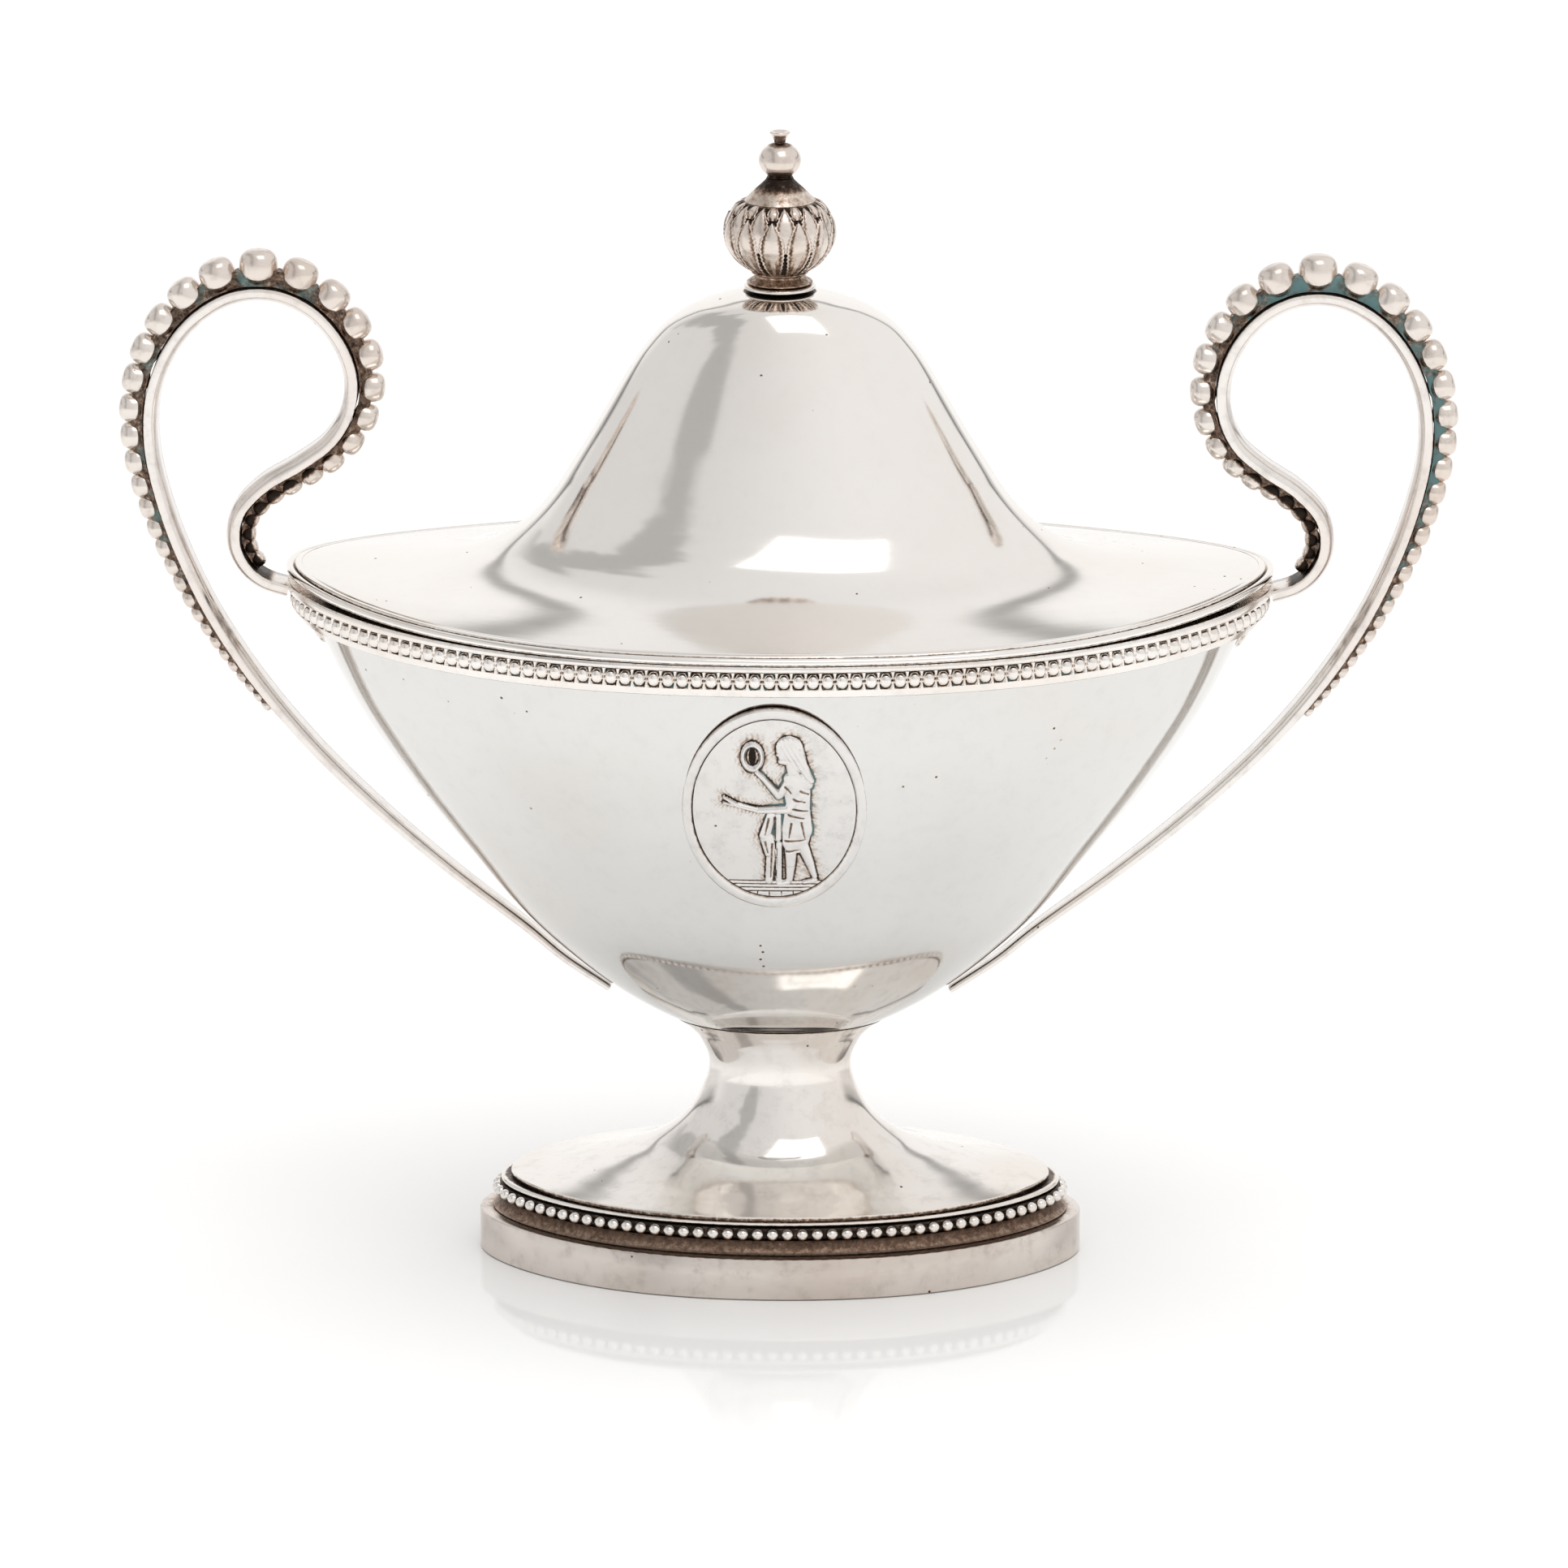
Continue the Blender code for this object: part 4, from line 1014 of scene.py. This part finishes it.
# Short dark strokes of the chaser's tool on the figure's clothes: start and end.
STROKES = [
    ((2.3, -0.6), (4.7, -1.2)),
    ((3.0, 0.6), (5.3, 0.1)),
    ((1.7, -5.6), (4.9, -5.3)),
    ((1.6, -7.6), (3.9, -7.2)),
    ((1.8, 4.7), (2.7, 3.5)),
    ((4.2, 3.9), (5.5, 3.2)),
    ((3.1, 2.4), (4.9, 1.8)),
    ((2.7, -2.2), (2.3, -4.9)),
    ((4.3, -2.0), (4.8, -5.0)),
    ((-0.9, -1.4), (-1.5, -4.4)),
    ((0.1, -1.2), (0.1, -5.4)),
    ((-1.5, -5.8), (-1.1, -7.8)),
    ((-0.4, -6.2), (-0.7, -12.6)),
    ((0.2, -7.2), (0.1, -12.8)),
]
MIRROR_CENTRE, MIRROR_SIZE = (-3.4, 9.9), (1.85, 2.75)
GROUND_LINES = (0.0, -0.65, -1.3, -2.0)
BRICK_LENGTH, BRICK_HEIGHT = 1.9, 0.95


def relief(u, v):
    """The height of the plaque's relief, its tarnish and its verdigris."""
    height = np.zeros_like(u)
    nearest = np.full_like(u, 9.0)
    for start, end, start_radius, end_radius, tall in FIGURE:
        distance, radius = limb(u, v, start, end, start_radius, end_radius)
        height = np.maximum(height, rounded(distance, radius, tall))
        nearest = np.minimum(nearest, distance)
    hair = (u > 0.6) & (v > 6.0) & (u + 0.5 * v > 6.9)
    strands = np.where(hair, 0.06 * np.cos((u + 0.55 * v) * 8.0), 0)
    height = height + strands * soft_step(height, 0.2, 0.5)
    folds = np.zeros_like(u)
    for start, end in STROKES:
        distance, _ = limb(u, v, start, end, 0.12, 0.03)
        folds = np.maximum(folds, np.exp(-((np.clip(distance, 0, 9) / 0.13) ** 2)))
    folds = folds * (height > 0.2)
    ring = np.hypot((u - MIRROR_CENTRE[0]) / MIRROR_SIZE[0], (v - MIRROR_CENTRE[1]) / MIRROR_SIZE[1])
    height = np.maximum(height, 0.6 * np.exp(-(((ring - 0.8) / 0.18) ** 2)))
    nearest = np.minimum(nearest, np.abs(ring - 0.8) * 2.0 - 0.42)
    hole = np.hypot((u - MIRROR_CENTRE[0]) / 0.62, (v - MIRROR_CENTRE[1]) / 1.65)
    glass = soft_step(1.0 - hole, 0.0, 0.15)
    ray = np.arctan2(v - 1.5, u - 2.0) * (26 + 3.1 * np.hypot(u - 2, v - 1.5))
    spikes = 0.5 + 0.5 * np.sin(ray + 2 * np.sin(3 * v))
    around = (nearest > 0) * (v > GROUND)
    broken = 0.75 + 0.25 * np.sin(2.3 * u + 1.7 * v)
    outline = broken * np.exp(-((np.clip(nearest - 0.02, 0, 9) / 0.17) ** 2)) * around
    halo = (0.34 + 0.2 * spikes) * np.exp(-np.clip(nearest, 0, 9) / (0.75 + 0.25 * spikes)) * around
    field = 0.1 * (height < 0.1)
    tarnish_and_shade_levels = field + 0.7 * outline + halo + 0.7 * glass + 0.6 * folds
    below = v - GROUND
    lines = np.zeros_like(u)
    for level in GROUND_LINES:
        lines = np.maximum(lines, np.exp(-(((below - level) / 0.09) ** 2)))
    depth = GROUND_LINES[-1] - below
    course = np.floor(depth / BRICK_HEIGHT)
    brick = np.abs((u + BRICK_LENGTH / 2 * (course % 2)) % BRICK_LENGTH - BRICK_LENGTH / 2)
    joints = np.exp(-((brick / 0.08) ** 2)) * (depth > 0)
    beds = np.exp(-(((depth % BRICK_HEIGHT) / 0.09) ** 2)) * (depth > 0.05)
    lines = np.maximum(lines, np.maximum(joints, beds)) * soft_step(0.05 - height, 0, 0.05)
    grain = 0.012 * np.sin(u * 23.1 + 3 * np.sin(v * 7.7)) * np.sin(v * 21.7 + 2 * np.sin(u * 9.3))
    grain = grain * (height < 0.05) * (v > GROUND)
    beside = (v < 7.8) & (v > -5.0) & (np.abs(u - 2.6) < 4.6)
    green = 0.95 * np.exp(-((np.clip(nearest, 0, 9) / 0.5) ** 2)) * beside * around
    height = height - 0.16 * lines - 0.12 * folds + grain
    return height, np.clip(tarnish_and_shade_levels + 0.85 * lines, 0, 1), green


def medal_grid(scales, sides):
    angle = turns(sides)
    u = MEDAL_HALF_WIDTH * scales[:, None] * np.cos(angle)
    v = MEDAL_HALF_HEIGHT * scales[:, None] * np.sin(angle)
    return u, v


def stand_on_bowl(u, v, lift):
    """Points at u across and v up from the medallion's middle, lifted off the bowl's face."""
    x, z = u, MEDAL_CENTRE + v
    return bowl_front(x, z) + bowl_front_normal(x, z) * lift[..., None]


def make_medallion():
    inner = 1 - (FRAME_WIDTH + 0.1) / MEDAL_HALF_WIDTH
    u, v = medal_grid(np.linspace(inner, 0.006, 170), 560)
    height, tarnish_and_shade_levels, green = relief(u, v)
    edge = soft_step(np.linspace(0, 170, 170)[:, None], 0, 3)
    top = stand_on_bowl(u, v, 0.62 + height * edge)
    skirt_u, skirt_v = medal_grid(np.array([0.006, inner]), 560)
    under = stand_on_bowl(skirt_u, skirt_v, np.full_like(skirt_u, 0.3))
    rows = np.concatenate([top, under])
    tarnish_and_shade_levels = np.concatenate([tarnish_and_shade_levels, np.full_like(skirt_u, 0.5)])
    green = np.concatenate([green, np.zeros_like(skirt_u)])
    Shape().grid(rows, section=True, tarnish=tarnish_and_shade_levels, green=green).make(
        "medallion_relief", RELIEF_SILVER, "root", "satin_silver", "medallion_plaque", sharp=70
    )

    outside = 1.0
    section = [
        (outside, 0.3, 0.7),
        (outside, 0.75, 0.45),
        (outside - 0.012, 0.98, 0.1),
        (outside - 0.03, 1.08, 0.0),
        (0.5 * (outside + inner), 1.0, 0.0),
        (inner + 0.035, 1.05, 0.0),
        (inner + 0.02, 0.92, 0.3),
        (inner + 0.006, 0.66, 0.95),
        (inner + 0.004, 0.3, 0.9),
    ]
    scales = np.array([scale for scale, _, _ in section])
    u, v = medal_grid(scales, 320)
    lift = np.array([height for _, height, _ in section])[:, None] + 0 * u
    # Painted shade: the frame's walls carry tarnish, and it is darkened more towards the upper left, down to
    # 0.65 of its strength at the lower right.
    shaded_upper_left = soft_step(-u / MEDAL_HALF_WIDTH + v / MEDAL_HALF_HEIGHT, -0.4, 1.0)
    tarnish_and_shade_levels = np.array([level for _, _, level in section])[:, None] * (0.65 + 0.35 * shaded_upper_left)
    Shape().grid(stand_on_bowl(u, v, lift), section=True, tarnish=tarnish_and_shade_levels).make(
        "medallion_border", RELIEF_SILVER, "root", "satin_silver", "medallion_frame"
    )


# ---------------------------------------------------------------- hidden fastening


def finish_fastening():
    """The stud, washer and nut inside the dome keep their CAD shape."""
    for node in ("finial_stud", "finial_washer", "finial_nut"):
        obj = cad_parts[node]
        obj.data.materials.clear()
        obj.data.materials.append(TRIM_SILVER)


# ---------------------------------------------------------------- floor, light, camera


def make_floor():
    """A pale sheet that mirrors only what stands close by, like the foot of the bowl."""
    bpy.ops.mesh.primitive_circle_add(vertices=96, radius=6.0, fill_type="NGON", location=(0, 0, -0.0001))
    floor = bpy.context.object
    floor.name = "floor"
    material = bpy.data.materials.new("pale_floor")
    n = Nodes(material)
    shader = material.node_tree.nodes["Principled BSDF"]
    depth = n.add("ShaderNodeSeparateXYZ", {"Vector": n.place}).outputs["Y"]
    gloss = n.spread(depth, -0.115, -0.06)
    tone = n.spread(n.noise(3.0, 2), 0.3, 0.7, 0.0, 0.02)
    n.put(shader.inputs["Base Color"], n.mix(tone, (0.88, 0.88, 0.875, 1), (0.7, 0.7, 0.7, 1)))
    n.put(shader.inputs["Specular IOR Level"], n.math("MULTIPLY", gloss, 0.28))
    shader.inputs["Roughness"].default_value = 0.06
    shader.inputs["IOR"].default_value = 1.45
    floor.data.materials.append(material)


def make_world():
    """A pale studio: brightest behind the bowl near the table, greyer above, with a dark band on the left."""
    world = bpy.data.worlds.new("studio")
    bpy.context.scene.world = world
    n = Nodes(world, "Generated")
    x, y, z = n.add("ShaderNodeSeparateXYZ", {"Vector": n.place}).outputs
    side = n.math("ABSOLUTE", x)
    wobble = n.add("ShaderNodeTexNoise", {"Scale": 5.0}).outputs["Fac"]
    band_x = n.math("MULTIPLY_ADD", wobble, 0.35, x)
    band = n.math("ABSOLUTE", n.math("ADD", band_x, 0.36))
    ceiling = n.spread(x, -0.5, 0.5, 0.76, 0.94)
    ceiling = n.spread(band, 0.07, 0.15, 0.5, ceiling)
    ceiling = n.spread(y, 0.45, 0.75, ceiling, 0.95)
    sweep = n.spread(y, -0.3, 0.4, ceiling, 1.06)
    top_of_sweep = n.spread(side, 0.3, 0.75, 0.6, 0.18)
    above = n.math("SUBTRACT", z, top_of_sweep)
    dusk = n.spread(y, 0.0, 0.3, 1.0, n.spread(above, -0.3, 0.0, 1.0, 0.5))
    sweep = n.math("MULTIPLY", sweep, n.spread(side, 0.3, 0.65, 1.0, dusk))
    strength = n.spread(above, 0.0, 0.05, sweep, ceiling)
    seam = n.spread(n.math("ABSOLUTE", above), 0.01, 0.05, 0.4, 1.0)
    seam = n.spread(y, 0.0, 0.3, 1.0, seam)
    strength = n.math("MULTIPLY", strength, seam)
    background = world.node_tree.nodes["Background"]
    background.inputs["Color"].default_value = (1.0, 0.99, 0.98, 1.0)
    n.put(background.inputs["Strength"], strength)


def make_light(name, place, aim, size, power):
    light = bpy.data.lights.new(name, "AREA")
    light.shape = "RECTANGLE"
    light.size, light.size_y = size
    light.energy = power
    obj = bpy.data.objects.new(name, light)
    bpy.context.scene.collection.objects.link(obj)
    obj.location = place
    obj.rotation_mode = "QUATERNION"
    obj.rotation_quaternion = (Vector(aim) - Vector(place)).to_track_quat("-Z", "Y")
    obj.visible_camera = False
    return obj


CAMERA_AIM = (0.665, 0.0, 79.35)
CAMERA_DISTANCE = 1710.0
CAMERA_TURN, CAMERA_HEIGHT = math.radians(1.3), math.radians(15.5)


def make_camera():
    data = bpy.data.cameras.new("camera")
    data.sensor_width = 36.0
    data.lens = 239.5
    camera = bpy.data.objects.new("camera", data)
    bpy.context.scene.collection.objects.link(camera)
    level = CAMERA_DISTANCE * math.cos(CAMERA_HEIGHT)
    up = CAMERA_DISTANCE * math.sin(CAMERA_HEIGHT)
    back = (level * math.sin(CAMERA_TURN), -level * math.cos(CAMERA_TURN), up)
    camera.location = [(a + b) * MM for a, b in zip(CAMERA_AIM, back)]
    camera.rotation_euler = (math.radians(90) - CAMERA_HEIGHT, 0, CAMERA_TURN)
    bpy.context.scene.camera = camera


make_bowl()
make_rim()
make_foot()
make_lid()
make_finial()
for handle_name, handle_side, handle_green in (("left", -1, 0.6), ("right", 1, 0.85)):
    make_handle(handle_name, handle_side, handle_green)
    make_tongue(handle_name, handle_side)
make_medallion()
finish_fastening()
make_floor()
make_world()
make_light("front_softbox", (0.25, -0.68, 1.5), (0, 0, 0.1), (0.85, 0.85), 2.4)
wash = make_light("ceiling_wash", (0.0, 0.0, 3.0), (0, 0, 0), (3.0, 3.0), 48.0)
wash.visible_glossy = False
make_camera()
bpy.context.scene.view_settings.view_transform = "Standard"
